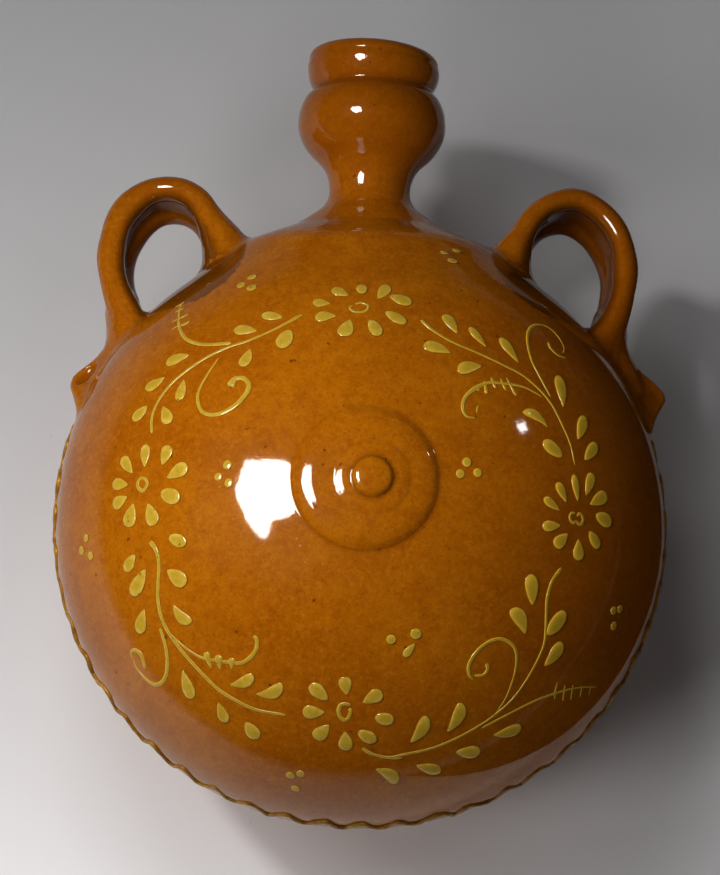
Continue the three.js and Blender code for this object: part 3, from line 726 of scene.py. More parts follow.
def outward(mesh):
    """Turns a closed mesh the right way round if its faces look inwards."""
    mesh.calc_loop_triangles()
    places = np.empty(len(mesh.vertices) * 3)
    mesh.vertices.foreach_get("co", places)
    corners = np.empty(len(mesh.loop_triangles) * 3, np.int32)
    mesh.loop_triangles.foreach_get("vertices", corners)
    a, b, c = places.reshape(-1, 3)[corners.reshape(-1, 3)].transpose(1, 0, 2)
    if np.einsum("ij,ij->i", a, np.cross(b, c)).sum() < 0:
        mesh.flip_normals()


def set_values(mesh, values):
    for name, numbers in values.items():
        layer = mesh.attributes.new(name, "FLOAT", "POINT")
        layer.data.foreach_set("value", np.asarray(numbers, np.float32))


def lids(faces, place):
    """Lids for a cut piece: a fan of triangles to the middle of each open rim, and those middles."""
    size = len(place)
    ends = np.stack([faces, np.roll(faces, -1, 1)], -1).reshape(-1, 2)
    rim = ends[~np.isin(ends[:, 0] * size + ends[:, 1], ends[:, 1] * size + ends[:, 0])]
    # rim edges that hang together take the lowest number among their points
    group, before = np.arange(size), None
    while before is None or (before != group).any():
        before = group.copy()
        low = np.minimum(group[rim[:, 0]], group[rim[:, 1]])
        np.minimum.at(group, rim[:, 0], low)
        np.minimum.at(group, rim[:, 1], low)
    fans, tops = [], []
    for label in np.unique(group[rim[:, 0]]):
        edges = rim[group[rim[:, 0]] == label]
        fans += [(int(b), int(a), size + len(tops)) for a, b in edges]
        tops.append(place[edges[:, 0]].mean(0))
    return fans, np.reshape(tops, (-1, 3))


def clay_pieces(material):
    """Cuts the skin of the clay into the pieces that it was luted from, and closes each where it was cut."""
    points, quads, normals, marks = clay_skin()
    centre = points[quads].mean(1)
    body, neck, handle = clay(*centre.T, parts=True)
    on_handle, left = (handle < body) & (handle < neck), centre[:, 0] < 0
    part = np.where(centre[:, 2] >= 0, 0, 1)
    part[(neck < body + NECK_JOIN) & (neck < handle)] = 2
    part[on_handle & left] = 3
    part[on_handle & ~left] = 4
    pieces = []
    for index, node in enumerate(("front_bowl", "back_bowl", "neck", "handle_left", "handle_right")):
        used, faces = np.unique(quads[part == index], return_inverse=True)
        faces = faces.reshape(-1, 4)
        fans, tops = lids(faces, points[used])
        mesh = bpy.data.meshes.new(node)
        verts = np.vstack([points[used], tops]) + MIDDLE
        mesh.from_pydata((verts * MM).tolist(), [], faces.tolist() + fans)
        none = np.zeros(len(tops))
        set_values(mesh, {name: np.concatenate([values[used], none]) for name, values in marks.items()})
        mesh.shade_smooth()
        flat = np.tile([0.0, 0.0, 1.0], (len(tops), 1))
        mesh.normals_split_custom_set_from_vertices(np.vstack([normals[used], flat]).tolist())
        mesh.materials.append(material)
        obj = add_object("clay_" + node, mesh)
        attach(obj, "root")
        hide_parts(node)
        pieces.append(obj)
    return pieces


def on_clay(spots):
    """Places on the front dome, (across, up) in hundredths of the radius, and the clay's rise over it there."""
    flat = np.asarray(spots, float) * BODY_RADIUS / 100
    high = BODY_DEPTH * np.sqrt(np.maximum(1 - (flat**2).sum(1) / BODY_RADIUS**2, 0.01))
    place = np.column_stack([flat, high])
    normal = place / BODY**2
    normal /= np.linalg.norm(normal, axis=1)[:, None]
    rise = np.zeros(len(place))
    for _ in range(4):
        rise = rise - clay(*(place + normal * rise[:, None]).T)
    return place, rise


def new_tree(name, inputs):
    """A tree with named inputs; gives it, the identifier of each input, its sheet and the wrapped inputs."""
    tree = bpy.data.node_groups.new(name, "GeometryNodeTree")
    sheet, ids = Sheet(tree), {}
    inputs = [
        ("Geometry", "Geometry", None), *inputs, ("Material", "Material", None),
        ("Body size", "Vector", tuple(BODY * MM)), ("Body middle", "Vector", tuple(MIDDLE * MM)),
    ]
    for label, kind, default in inputs:
        socket = tree.interface.new_socket(name=label, in_out="INPUT", socket_type="NodeSocket" + kind)
        if default is not None:
            socket.default_value = default
        ids[label] = socket.identifier
    tree.interface.new_socket(name="Geometry", in_out="OUTPUT", socket_type="NodeSocketGeometry")
    return tree, ids, sheet, {label: sheet.node("NodeGroupInput", out=label) for label in ids}


def named(sheet, name, kind="FLOAT"):
    return sheet.node("GeometryNodeInputNamedAttribute", {"data_type": kind}, {"Name": name})


def store(sheet, geometry, name, value, kind="FLOAT"):
    sockets = {"Geometry": geometry, "Name": name, "Value": value}
    return sheet.node("GeometryNodeStoreNamedAttribute", {"data_type": kind, "domain": "POINT"}, sockets)


def from_middle(sheet, i):
    """Each point's place, from the body's middle."""
    return sheet.vector("SUBTRACT", sheet.node("GeometryNodeInputPosition"), i["Body middle"])


def to_dome(sheet, spot, i):
    """A point near the dome, from the body's middle, drawn onto it, and the way out of the clay there."""
    size = i["Body size"]
    far = sheet.vector("LENGTH", sheet.vector("DIVIDE", spot, size))
    place = sheet.vector("DIVIDE", spot, sheet.node("ShaderNodeCombineXYZ", {}, {n: far for n in range(3)}))
    out = sheet.vector("NORMALIZE", sheet.vector("DIVIDE", sheet.vector("DIVIDE", place, size), size))
    return place, out


def lifted(sheet, geometry, place, out, lift, i):
    """Sets each point at its place on the dome, lifted off it."""
    spot = sheet.vector("ADD", sheet.vector("ADD", place, i["Body middle"]), sheet.vector("SCALE", out, scale=lift))
    return sheet.node("GeometryNodeSetPosition", {}, {"Geometry": geometry, "Position": spot})


def tube_along(sheet, line, sides):
    """A round tube along a line, as broad as the line's own breadth."""
    ring = sheet.node("GeometryNodeCurvePrimitiveCircle", {"mode": "RADIUS"}, {"Resolution": sides, "Radius": 1.0})
    sockets = {"Curve": line, "Profile Curve": ring, "Scale": named(sheet, "breadth"), "Fill Caps": True}
    return sheet.node("GeometryNodeCurveToMesh", {}, sockets)


def give(sheet, geometry, i):
    """The end of a tree: smooth faces, no instances left, and the material."""
    geometry = sheet.node("GeometryNodeSetShadeSmooth", {}, {"Geometry": geometry, "Shade Smooth": True})
    geometry = sheet.node("GeometryNodeRealizeInstances", {}, {"Geometry": geometry})
    geometry = sheet.node("GeometryNodeSetMaterial", {}, {"Geometry": geometry, "Material": i["Material"]})
    sheet.node("NodeGroupOutput", {}, {"Geometry": geometry})


def trail_tree():
    """A slip trail: a smooth line through the points, laid on the dome, with a flattened round section."""
    tree, ids, s, i = new_tree("slip_trail", [
        ("Step", "Float", 0.0007), ("Sides", "Int", 10), ("Flatness", "Float", 0.42),
    ])
    line = s.node("GeometryNodeMeshToCurve", {}, {"Mesh": i["Geometry"]})
    line = s.node("GeometryNodeCurveSplineType", {"spline_type": "CATMULL_ROM"}, {"Curve": line})
    line = s.node("GeometryNodeResampleCurve", {"mode": "LENGTH"}, {"Curve": line, "Length": i["Step"]})
    place, out = to_dome(s, from_middle(s, i), i)
    line = lifted(s, line, place, out, named(s, "rise"), i)
    tube = tube_along(s, line, i["Sides"])
    spot = from_middle(s, i)
    place, out = to_dome(s, spot, i)
    above = s.vector("DOT_PRODUCT", s.vector("SUBTRACT", spot, place), out)
    tube = store(s, tube, "lift", (above - named(s, "rise")) * i["Flatness"])
    tube = store(s, tube, "height", named(s, "lift") / (named(s, "breadth") * i["Flatness"]))
    give(s, lifted(s, tube, place, out, named(s, "lift") + named(s, "rise"), i), i)
    return tree, ids


def drop_tree():
    """Slip drops: one round form set on each point and drawn out to a tip, bent, and laid on the dome."""
    tree, ids, s, i = new_tree("slip_drops", [
        ("Segments", "Int", 24), ("Rings", "Int", 12), ("Sunk", "Float", 0.0005),
    ])
    here = s.node("GeometryNodeInputPosition")
    spots = store(s, i["Geometry"], "place", here, "FLOAT_VECTOR")
    form = s.node("GeometryNodeMeshUVSphere", {}, {"Segments": i["Segments"], "Rings": i["Rings"], "Radius": 1.0})
    form = store(s, form, "form", here, "FLOAT_VECTOR")
    drops = s.node("GeometryNodeInstanceOnPoints", {}, {"Points": spots, "Instance": form})
    drops = s.node("GeometryNodeRealizeInstances", {}, {"Geometry": drops})
    along, beside, above = s.axes(named(s, "form", "FLOAT_VECTOR"))
    slim = 1 - named(s, "tip") * ((along + 1) * 0.5) ** 1.25
    a = along * named(s, "long") * 0.5
    b = beside * slim * named(s, "wide") * 0.5 + named(s, "arch") * (0.45 - along * along)
    turn = named(s, "turn")
    c, n = (turn.sum(wave, turn) for wave in ("COSINE", "SINE"))
    spot = s.vector("SUBTRACT", named(s, "place", "FLOAT_VECTOR"), i["Body middle"])
    _, out = to_dome(s, spot, i)
    right = s.vector("SUBTRACT", (1.0, 0.0, 0.0), s.vector("SCALE", out, scale=s.axes(out)[0]))
    right = s.vector("NORMALIZE", right)
    up = s.vector("CROSS_PRODUCT", out, right)
    right, up = s.vector("SCALE", right, scale=a * c - b * n), s.vector("SCALE", up, scale=a * n + b * c)
    place, out = to_dome(s, s.vector("ADD", spot, s.vector("ADD", right, up)), i)
    crown = above.sum("MAXIMUM", above, 0.0) ** 0.5 * named(s, "high") * (0.35 + 0.65 * slim)
    lift = crown + above.sum("MINIMUM", above, 0.0) * i["Sunk"]
    drops = lifted(s, drops, place, out, lift + named(s, "rise"), i)
    give(s, store(s, drops, "height", above), i)
    return tree, ids


def wave_tree():
    """The wave round the edge: a line that swings to the front and back of the seam, with a round section."""
    tree, ids, s, i = new_tree("edge_wave", [
        ("Count", "Int", 1400), ("Sides", "Int", 10), ("Waves", "Float", 31.0),
        ("Start angle", "Float", math.radians(70.5)), ("End angle", "Float", math.radians(289.5)),
        ("Swing", "Float", 0.003), ("Breadth", "Float", 0.0009),
    ])

    def uneven(pace):
        sockets = {"W": way * pace, "Scale": 1.0, "Detail": 1.0}
        return s.node("ShaderNodeTexNoise", {"noise_dimensions": "1D"}, sockets, "Fac")

    line = s.node("GeometryNodeMeshLine", {}, {"Count": i["Count"]})
    way = s.node("GeometryNodeInputIndex") / i["Count"]
    angle = i["Start angle"] + (i["End angle"] - i["Start angle"]) * way
    drift = uneven(37.0) - 0.5
    beat = (way * i["Waves"] + drift * 0.35) * (2 * math.pi)
    swing = beat.sum("SINE", beat) * i["Swing"] * (1 + drift * 0.9)
    across, up = (angle.sum(wave, angle) * (BODY_RADIUS * MM) for wave in ("SINE", "COSINE"))
    place, _ = to_dome(s, s.node("ShaderNodeCombineXYZ", {}, {0: across, 1: up, 2: swing}), i)
    place = s.vector("ADD", place, i["Body middle"])
    line = s.node("GeometryNodeSetPosition", {}, {"Geometry": line, "Position": place})
    ends = s.step(way, 0.0, 0.006) * (1 - s.step(way, 0.994, 1.0)) * 0.8 + 0.2
    line = store(s, line, "breadth", i["Breadth"] * (0.7 + 0.6 * uneven(90.0)) * ends)
    give(s, tube_along(s, s.node("GeometryNodeMeshToCurve", {}, {"Mesh": line}), i["Sides"]), i)
    return tree, ids


def grown(name, mesh, tree, ids, material):
    """A piece made by a tree from the given points or lines, turned into a plain mesh."""
    obj = add_object(name, mesh)
    nodes = obj.modifiers.new("make", "NODES")
    nodes.node_group = tree
    nodes[ids["Material"]] = material
    graph = bpy.context.evaluated_depsgraph_get()
    made = bpy.data.meshes.new_from_object(obj.evaluated_get(graph), preserve_all_data_layers=True, depsgraph=graph)
    obj.modifiers.clear()
    obj.data = made
    outward(made)
    return obj


def trails(name, strokes, tree, ids, material):
    """Slip trails: each stroke is its points on the dome and its breadths, spread evenly along it, in millimetres."""
    verts, edges, rises, breadths = [], [], [], []
    for points, widths in strokes:
        line = smooth_path(points, 5)
        place, rise = on_clay(line)
        share = np.linspace(0, 1, len(line))
        breadth = np.interp(share, np.linspace(0, 1, len(widths)), widths) / 2
        breadth[[0, -1]] *= TRAIL_END
        first = len(verts)
        verts += ((place + MIDDLE) * MM).tolist()
        edges += [(first + n, first + n + 1) for n in range(len(line) - 1)]
        rises += (rise * MM).tolist()
        breadths += (breadth * MM).tolist()
    mesh = bpy.data.meshes.new(name)
    mesh.from_pydata(verts, edges, [])
    set_values(mesh, {"rise": rises, "breadth": breadths})
    return grown(name, mesh, tree, ids, material)


def drops(name, rows, tree, ids, material):
    """Slip drops: each row is (across, up, length, width, tip angle, arch) with an optional height and point."""
    place, rise = on_clay([row[:2] for row in rows])
    mesh = bpy.data.meshes.new(name)
    mesh.from_pydata(((place + MIDDLE) * MM).tolist(), [], [])
    full = [tuple(row) + DROP_HIGH_AND_TIP[len(row) - 6:] for row in rows]
    long, wide, turn, arch, high, tip = np.array([row[2:] for row in full], float).T
    set_values(mesh, {
        "rise": rise * MM, "long": long * DROP_LONG * MM, "wide": wide / (1 - 0.28 * tip) * DROP_WIDE * MM,
        "turn": np.radians(turn), "arch": arch * MM, "high": high * DROP_HIGH * MM, "tip": tip,
    })
    return grown(name, mesh, tree, ids, material)


# ---------------------------------------------------------------------------------------------------
# The wreath: places in hundredths of the body's radius, seen from the front with the neck up.

TRAIL_END = 0.55
DROP_LONG = 1.11
DROP_WIDE = 1.17
DROP_HIGH = 0.44
DROP_HIGH_AND_TIP = (1.25, 0.72)

# Each flower: its middle and its petals.
FLOWERS = {
    "upper": ((-3.5, 60.3), [
        (-15.7, 61.6, 5.6, 3.5, -8, 0.0), (-9.7, 65.9, 6.0, 3.8, -30, 0.0),
        (-2.7, 67.2, 4.2, 3.6, -90, 0.0, 1.5, 0.2), (4.2, 66.5, 7.4, 4.0, -115, 0.3),
        (10.1, 63.8, 7.4, 4.3, 160, 0.0, 1.3, 0.35), (8.5, 56.8, 7.8, 4.0, 147, 0.0, 1.3, 0.3),
        (1.7, 52.6, 7.0, 4.2, 117, 0.0, 1.3, 0.35), (-7.5, 52.3, 7.2, 5.0, 68, -0.5),
        (-14.3, 56.4, 6.6, 4.2, 6, 0.5),
    ]),
    "left": ((-71.9, 0.5), [
        (-71.2, 9.9, 7.6, 3.6, -91, 0.0), (-64.6, 9.2, 6.8, 4.2, -108, 0.2),
        (-60.7, 3.2, 8.0, 4.8, -155, 0.0), (-62.6, -4.6, 7.4, 5.0, 158, 0.0, 1.4, 0.25),
        (-68.6, -10.0, 7.8, 4.8, 112, 0.0), (-75.3, -9.4, 7.8, 5.0, 76, 0.0),
        (-78.9, -4.2, 6.2, 4.4, 24, 0.0), (-79.0, 1.5, 6.6, 4.0, -10, 0.0), (-76.9, 7.6, 7.6, 3.8, -55, 0.0),
    ]),
    "right": ((69.0, -6.5), [
        (60.6, -3.3, 6.6, 3.0, -30, 0.0), (63.8, 1.2, 7.0, 3.2, -60, 0.0),
        (68.4, 3.6, 8.6, 2.8, -78, 0.0, 1.2, 0.6), (72.8, 5.7, 8.2, 3.6, -106, 0.0),
        (76.1, 1.3, 8.2, 4.4, -146, 0.0), (78.1, -4.8, 7.0, 4.6, 165, 0.0, 1.4, 0.3),
        (75.1, -12.2, 6.4, 3.8, 130, 0.0, 1.4, 0.4), (70.0, -16.5, 6.8, 4.2, 92, 0.0),
        (64.2, -14.4, 6.6, 4.2, 44, 0.0), (60.8, -10.4, 6.8, 3.5, 8, 0.0),
    ]),
    "lower": ((-4.0, -72.6), [
        (-12.7, -67.1, 7.4, 4.4, -40, 0.0, 1.3, 0.4), (-4.2, -65.2, 6.0, 4.2, -80, 0.0),
        (4.7, -68.3, 7.0, 4.6, -149, 0.0), (8.8, -74.2, 6.2, 4.2, 170, 0.0, 1.3, 0.2),
        (3.5, -79.3, 6.6, 4.2, 149, 0.0, 1.4, 0.25), (-3.4, -80.8, 6.8, 4.6, 95, 0.0),
        (-11.1, -78.4, 6.8, 4.8, 52, 0.0), (-14.1, -72.9, 7.0, 4.6, 4, 0.0),
    ]),
}

# Each flower's heart, as steps from its middle, and the breadths of the trail.
HEARTS = {
    "upper": ([
        (-1.4, 1.2), (0.6, 1.8), (2.4, 1.2), (3.0, 0.0), (2.0, -1.4), (-0.2, -1.9), (-2.2, -1.3),
        (-3.0, -0.1), (-1.9, 0.6),
    ], (0.7, 1.0, 1.2, 1.2, 0.8)),
    "left": ([
        (0.3, 2.1), (1.5, 0.9), (1.5, -0.8), (0.3, -2.4), (-1.1, -1.2), (-1.5, 0.6), (-0.7, 1.8), (0.4, 2.1),
    ], (1.2, 1.3, 1.5, 1.3, 1.2)),
    "right": ([
        (-0.5, 1.7), (-1.9, 1.2), (-2.2, -0.2), (-1.4, -1.6), (0.0, -1.2), (1.2, -1.8), (2.1, -0.8),
        (2.1, 0.8), (1.0, 1.8), (0.1, 0.7),
    ], (1.0, 1.2, 1.2, 1.3, 1.0)),
    "lower": ([
        (1.6, 1.9), (0.0, 2.2), (-1.6, 1.8), (-2.1, 0.0), (-1.2, -1.8), (0.4, -2.4), (1.5, -1.2), (1.8, 0.6),
        (0.9, 0.4),
    ], (1.3, 1.5, 1.6, 1.5, 1.1)),
}

# The strokes of each spray, each with its breadths.
SPRAYS = {
    "upper_left": [
        ([
            (-22.1, 57.2), (-30.0, 52.3), (-38.6, 48.2), (-45.0, 46.2), (-52.9, 42.5), (-60.8, 36.9),
            (-66.0, 31.2), (-68.8, 25.6), (-69.5, 21.5), (-69.3, 17.4),
        ], (1.5, 1.0, 1.1, 1.2, 1.2, 1.2, 1.3, 1.2)),
        ([
            (-48.6, 42.1), (-51.2, 37.7), (-54.0, 32.2), (-54.9, 28.1), (-53.7, 23.8), (-50.7, 21.9),
            (-46.4, 22.4), (-42.2, 25.1), (-39.1, 29.1), (-38.6, 32.0), (-40.3, 34.2), (-43.0, 34.1),
            (-44.6, 31.5),
        ], (0.6, 0.9, 1.2, 1.5, 1.6, 1.7, 2.0, 2.2, 1.8, 2.0, 3.8)),
        ([
            (-44.7, 47.5), (-49.8, 47.5), (-54.7, 48.1), (-59.1, 50.7), (-61.5, 55.5), (-61.9, 61.2),
            (-61.6, 64.8), (-60.7, 66.9),
        ], (1.6, 1.5, 1.5, 1.5, 1.3, 1.1, 0.9, 0.8)),
        ([(-61.4, 56.7), (-59.8, 57.0), (-58.4, 57.9)], (1.0, 1.8, 1.6)),
        ([(-61.7, 59.7), (-60.4, 60.3), (-59.0, 61.0)], (0.9, 1.5, 1.2)),
        ([(-63.2, 63.0), (-61.7, 63.5), (-60.3, 64.2)], (0.8, 1.3, 1.0)),
        ([(-63.3, 65.3), (-61.7, 66.0), (-60.3, 66.9)], (0.7, 1.1, 0.8)),
        ([(-64.1, 55.6), (-62.9, 56.3), (-61.8, 56.9)], (0.5, 0.8, 0.8)),
        ([(-64.1, 58.7), (-63.0, 59.3), (-62.0, 59.7)], (0.5, 0.8, 0.8)),
    ],
    "upper_right": [
        ([
            (16.9, 56.6), (20.2, 53.4), (26.8, 49.3), (35.0, 46.2), (43.8, 42.7), (50.5, 39.8), (56.6, 35.0),
            (60.5, 30.3), (63.9, 23.8), (66.5, 17.9), (68.0, 11.3),
        ], (1.9, 1.3, 0.9, 0.9, 0.9, 1.0, 1.1, 1.0, 0.9, 0.8)),
        ([
            (59.6, 33.8), (56.0, 40.5), (53.2, 46.2), (51.8, 53.0), (52.3, 57.8), (54.8, 60.6), (58.8, 60.5),
            (62.1, 57.6), (64.1, 53.7), (63.7, 51.4),
        ], (1.0, 1.1, 1.2, 1.4, 1.3, 0.9, 0.7, 0.7, 0.6)),
        ([(64.8, 49.7), (62.1, 50.1), (59.7, 52.1), (58.8, 54.3)], (0.6, 1.1, 1.4, 1.7)),
        ([
            (56.6, 33.2), (54.9, 34.1), (51.0, 35.6), (47.7, 36.0), (43.9, 36.0), (40.1, 35.8), (36.8, 34.5),
            (33.6, 32.0), (31.4, 29.1), (30.8, 25.8), (32.1, 23.0), (34.8, 22.6),
        ], (0.5, 0.7, 0.9, 1.1, 1.2, 1.3, 1.8, 1.5, 1.5, 1.2, 0.5)),
        ([(37.6, 36.1), (38.2, 33.7), (38.5, 31.6)], (0.9, 1.4, 1.5)),
        ([(39.9, 37.6), (40.7, 35.7), (41.5, 33.9)], (0.9, 1.3, 1.3)),
        ([(43.0, 37.7), (44.0, 35.5), (44.9, 33.6)], (0.7, 1.1, 1.3)),
        ([(44.9, 38.3), (46.6, 35.2), (48.3, 32.3)], (0.6, 1.2, 1.6)),
        ([(34.7, 33.9), (35.5, 33.0), (35.9, 32.3)], (1.2, 1.6, 1.4)),
        ([(35.3, 24.5), (35.6, 25.9), (35.8, 27.2)], (0.6, 0.9, 0.5)),
    ],
    "lower_left": [
        ([
            (-68.7, -18.8), (-66.7, -21.6), (-65.6, -26.0), (-65.6, -32.2), (-65.4, -37.8), (-63.7, -44.0),
            (-60.0, -49.9), (-55.6, -55.2), (-50.5, -60.4), (-45.0, -65.4), (-39.0, -69.0), (-32.4, -71.9),
            (-23.3, -73.6),
        ], (2.1, 1.6, 1.5, 1.5, 1.5, 1.4, 1.4, 1.4, 1.3, 1.1)),
        ([
            (-64.5, -45.9), (-62.7, -51.0), (-61.7, -56.0), (-62.3, -60.6), (-64.9, -62.0), (-68.2, -60.1),
            (-71.6, -56.3), (-72.8, -53.3),
        ], (1.4, 1.5, 1.6, 1.7, 1.8, 1.4, 1.0, 0.7)),
        ([
            (-73.1, -53.3), (-73.7, -51.7), (-72.3, -51.1), (-70.2, -53.1), (-68.9, -56.9),
        ], (0.9, 1.2, 1.5, 2.0, 1.6)),
        ([
            (-62.8, -46.6), (-57.3, -51.6), (-53.5, -54.4), (-50.2, -56.1), (-45.3, -57.2), (-38.9, -58.3),
            (-35.7, -57.2), (-33.4, -54.5), (-33.3, -51.5), (-34.4, -50.3),
        ], (0.7, 0.9, 1.0, 1.2, 1.3, 1.6, 1.7, 1.7, 1.6, 1.2)),
        ([(-49.4, -54.4), (-48.9, -55.8), (-48.4, -57.2), (-47.5, -59.2)], (2.6, 2.9, 1.9, 0.7)),
        ([(-45.5, -55.6), (-45.2, -57.0), (-45.0, -58.0), (-44.6, -59.7)], (2.8, 3.3, 2.0, 0.8)),
        ([(-40.8, -56.7), (-40.9, -57.8), (-40.9, -58.6), (-41.0, -59.7)], (2.4, 3.0, 1.9, 0.8)),
    ],
    "lower_right": [
        ([
            (2.1, -82.6), (5.2, -84.0), (10.6, -84.7), (15.4, -83.7), (24.0, -81.5), (31.4, -78.4),
            (38.8, -74.2), (44.6, -70.0), (50.4, -64.5), (55.0, -57.7), (58.5, -50.8), (59.9, -46.1),
            (60.1, -39.0), (60.2, -33.4), (61.6, -28.0), (64.5, -23.3),
        ], (1.5, 1.3, 1.2, 1.1, 1.1, 1.0, 0.9, 0.9, 1.0, 1.2, 1.4, 1.3, 1.6)),
        ([(9.8, -84.7), (12.4, -84.9), (15.1, -84.6)], (0.8, 0.9, 0.7)),
        ([
            (45.1, -69.2), (48.1, -64.4), (50.3, -57.9), (50.8, -52.4), (49.3, -49.2), (45.1, -47.9),
            (40.8, -49.7), (37.4, -53.0), (35.4, -56.7), (35.6, -59.5), (36.9, -60.8),
        ], (0.6, 0.7, 0.9, 1.1, 1.3, 1.4, 1.4, 1.4, 1.5, 1.4, 0.8)),
        ([(37.1, -59.7), (40.2, -59.2), (41.5, -57.4), (41.2, -55.7)], (0.9, 1.2, 1.4, 1.9)),
        ([
            (40.5, -74.2), (49.0, -69.2), (56.5, -64.7), (63.3, -61.2), (70.7, -57.9), (78.1, -55.4),
        ], (1.0, 0.9, 0.9, 1.0, 0.7, 0.5)),
        ([(64.7, -57.6), (64.2, -60.3), (64.1, -62.4)], (0.7, 1.0, 0.8)),
        ([(67.3, -57.8), (67.1, -60.1), (67.0, -62.2)], (0.7, 1.0, 0.8)),
        ([(70.1, -57.1), (69.8, -59.2), (69.6, -61.2)], (0.7, 0.9, 0.8)),
        ([(73.2, -56.5), (72.9, -58.2), (72.7, -59.7)], (0.6, 0.9, 0.7)),
        ([(76.1, -55.9), (75.9, -57.1), (75.7, -58.2)], (0.5, 0.7, 0.6)),
    ],
}

LEAVES = {
    "upper_left": [
        (-31.6, 56.9, 7.2, 3.6, -18, 0.0, 1.3, 0.55), (-40.1, 52.0, 8.0, 4.0, -14, 0.3),
        (-27.2, 48.0, 7.6, 5.2, 66, 0.0, 1.4, 0.25), (-39.5, 41.6, 7.0, 4.0, 66, -0.4),
        (-61.8, 43.3, 8.4, 4.2, 4, 0.5), (-68.7, 35.1, 7.6, 4.0, 16, -0.3), (-60.1, 31.5, 7.8, 3.6, 78, -0.2),
        (-73.2, 25.0, 6.6, 4.2, 32, 0.0, 1.4, 0.5), (-64.8, 23.2, 7.2, 4.2, 112, 0.0),
    ],
    "upper_right": [
        (26.5, 56.0, 8.4, 3.9, -58, 0.3), (35.3, 52.0, 8.6, 3.0, -50, 0.0),
        (45.8, 48.5, 10.4, 3.6, -52, 0.0, 1.3, 0.8), (22.1, 46.3, 9.0, 4.4, -10, 0.7),
        (32.7, 40.2, 8.6, 4.4, 24, 0.7, 1.3, 0.6), (63.1, 36.5, 11.6, 4.2, -80, 0.0, 1.4, 0.8),
        (54.9, 25.4, 9.4, 3.6, -22, 1.5, 1.3, 0.8), (60.5, 15.4, 8.0, 4.6, -28, 0.0, 1.4, 0.3),
        (69.9, 24.7, 9.6, 3.9, -105, 0.0, 1.4, 0.6), (73.1, 16.9, 8.4, 3.9, -123, 0.0, 1.4, 0.5),
    ],
    "lower_left": [
        (-59.7, -19.3, 6.6, 4.0, 160, 0.0, 1.4, 0.2), (-74.9, -24.7, 6.4, 4.0, 58, 0.0, 1.3, 0.5),
        (-71.9, -31.2, 10.0, 4.9, 60, -0.5, 1.4, 0.6), (-59.7, -30.9, 8.0, 5.2, 150, 0.0, 1.4, 0.6),
        (-70.6, -43.1, 8.4, 4.4, 78, 0.0), (-57.8, -42.7, 8.4, 3.9, 143, 1.3, 1.3, 0.66),
        (-55.0, -63.2, 9.8, 4.5, 112, 0.0, 1.4, 0.8), (-37.3, -63.6, 8.8, 3.9, -152, 0.9),
        (-28.2, -66.8, 9.4, 4.2, -154, 1.5, 1.3, 0.7), (-43.4, -72.0, 7.0, 3.9, 115, 0.0),
        (-33.7, -77.5, 6.6, 4.8, 128, 0.0, 1.4, 0.5),
    ],
    "lower_right": [
        (20.5, -76.6, 10.2, 4.4, -117, 1.0, 1.4, 0.6), (32.0, -72.3, 10.6, 4.4, -114, 1.0, 1.4, 0.66),
        (10.9, -89.3, 9.4, 4.6, 138, -1.5, 1.3, 0.6), (24.0, -86.7, 8.8, 4.3, 156, -0.3, 1.3, 0.66),
        (36.5, -81.1, 8.2, 4.8, 168, 0.0, 1.4, 0.6), (49.1, -73.9, 9.8, 4.4, -178, 0.3, 1.4, 0.7),
        (51.4, -41.5, 9.6, 4.8, -58, 1.0, 1.4, 0.66), (63.5, -40.5, 9.6, 4.8, -132, 0.0, 1.4, 0.2),
        (63.0, -49.9, 9.4, 4.5, -132, 0.4, 1.4, 0.6), (55.0, -31.5, 9.8, 4.7, -84, 0.0, 1.4, 0.6),
    ],
}

DOTS = [
    (27.8, 85.3, 3.0, 2.4, 0, 0.0, 0.9, 0.0), (23.9, 83.9, 2.8, 2.0, -20, 0.0, 0.8, 0.2),
    (26.7, 81.4, 3.4, 2.6, 10, 0.0, 0.9, 0.0), (-41.9, 70.7, 3.0, 2.6, 30, 0.0, 0.9, 0.0),
    (-38.5, 69.1, 3.4, 2.8, 10, 0.0, 0.9, 0.0), (-38.5, 73.7, 3.2, 2.4, 10, 0.0, 0.9, 0.0),
    (-44.5, 4.3, 3.0, 3.0, 0, 0.0, 1.1, 0.0), (-47.3, 0.5, 2.6, 2.5, 0, 0.0, 1.0, 0.0),
    (-43.9, -1.7, 2.8, 2.8, 0, 0.0, 1.1, 0.0), (32.5, 7.2, 3.0, 3.0, 0, 0.0, 1.0, 0.0),
    (30.5, 3.1, 2.9, 2.9, 0, 0.0, 1.0, 0.0), (36.1, 4.0, 2.9, 2.8, 0, 0.0, 1.0, 0.0),
    (-90.7, -17.2, 2.8, 2.8, 0, 0.0, 0.9, 0.0), (-89.4, -13.7, 2.6, 2.4, 0, 0.0, 0.9, 0.0),
    (-87.7, -19.7, 2.8, 2.6, 0, 0.0, 0.9, 0.0), (9.9, -50.9, 3.1, 2.9, 0, 0.0, 1.1, 0.0),
    (17.8, -48.8, 3.7, 3.3, -20, 0.0, 1.2, 0.0), (15.9, -53.8, 5.4, 2.6, 52, 0.0, 1.1, 0.7),
    (-20.6, -89.6, 2.9, 2.8, 0, 0.0, 1.0, 0.0), (-17.4, -89.3, 2.7, 2.6, 0, 0.0, 1.0, 0.0),
    (-18.8, -92.8, 2.9, 2.7, 0, 0.0, 1.0, 0.0), (82.4, -32.5, 2.8, 2.6, 0, 0.0, 0.9, 0.0),
    (84.5, -31.4, 2.6, 2.4, 0, 0.0, 0.9, 0.0), (82.7, -36.9, 2.9, 2.7, 0, 0.0, 0.9, 0.0),
]


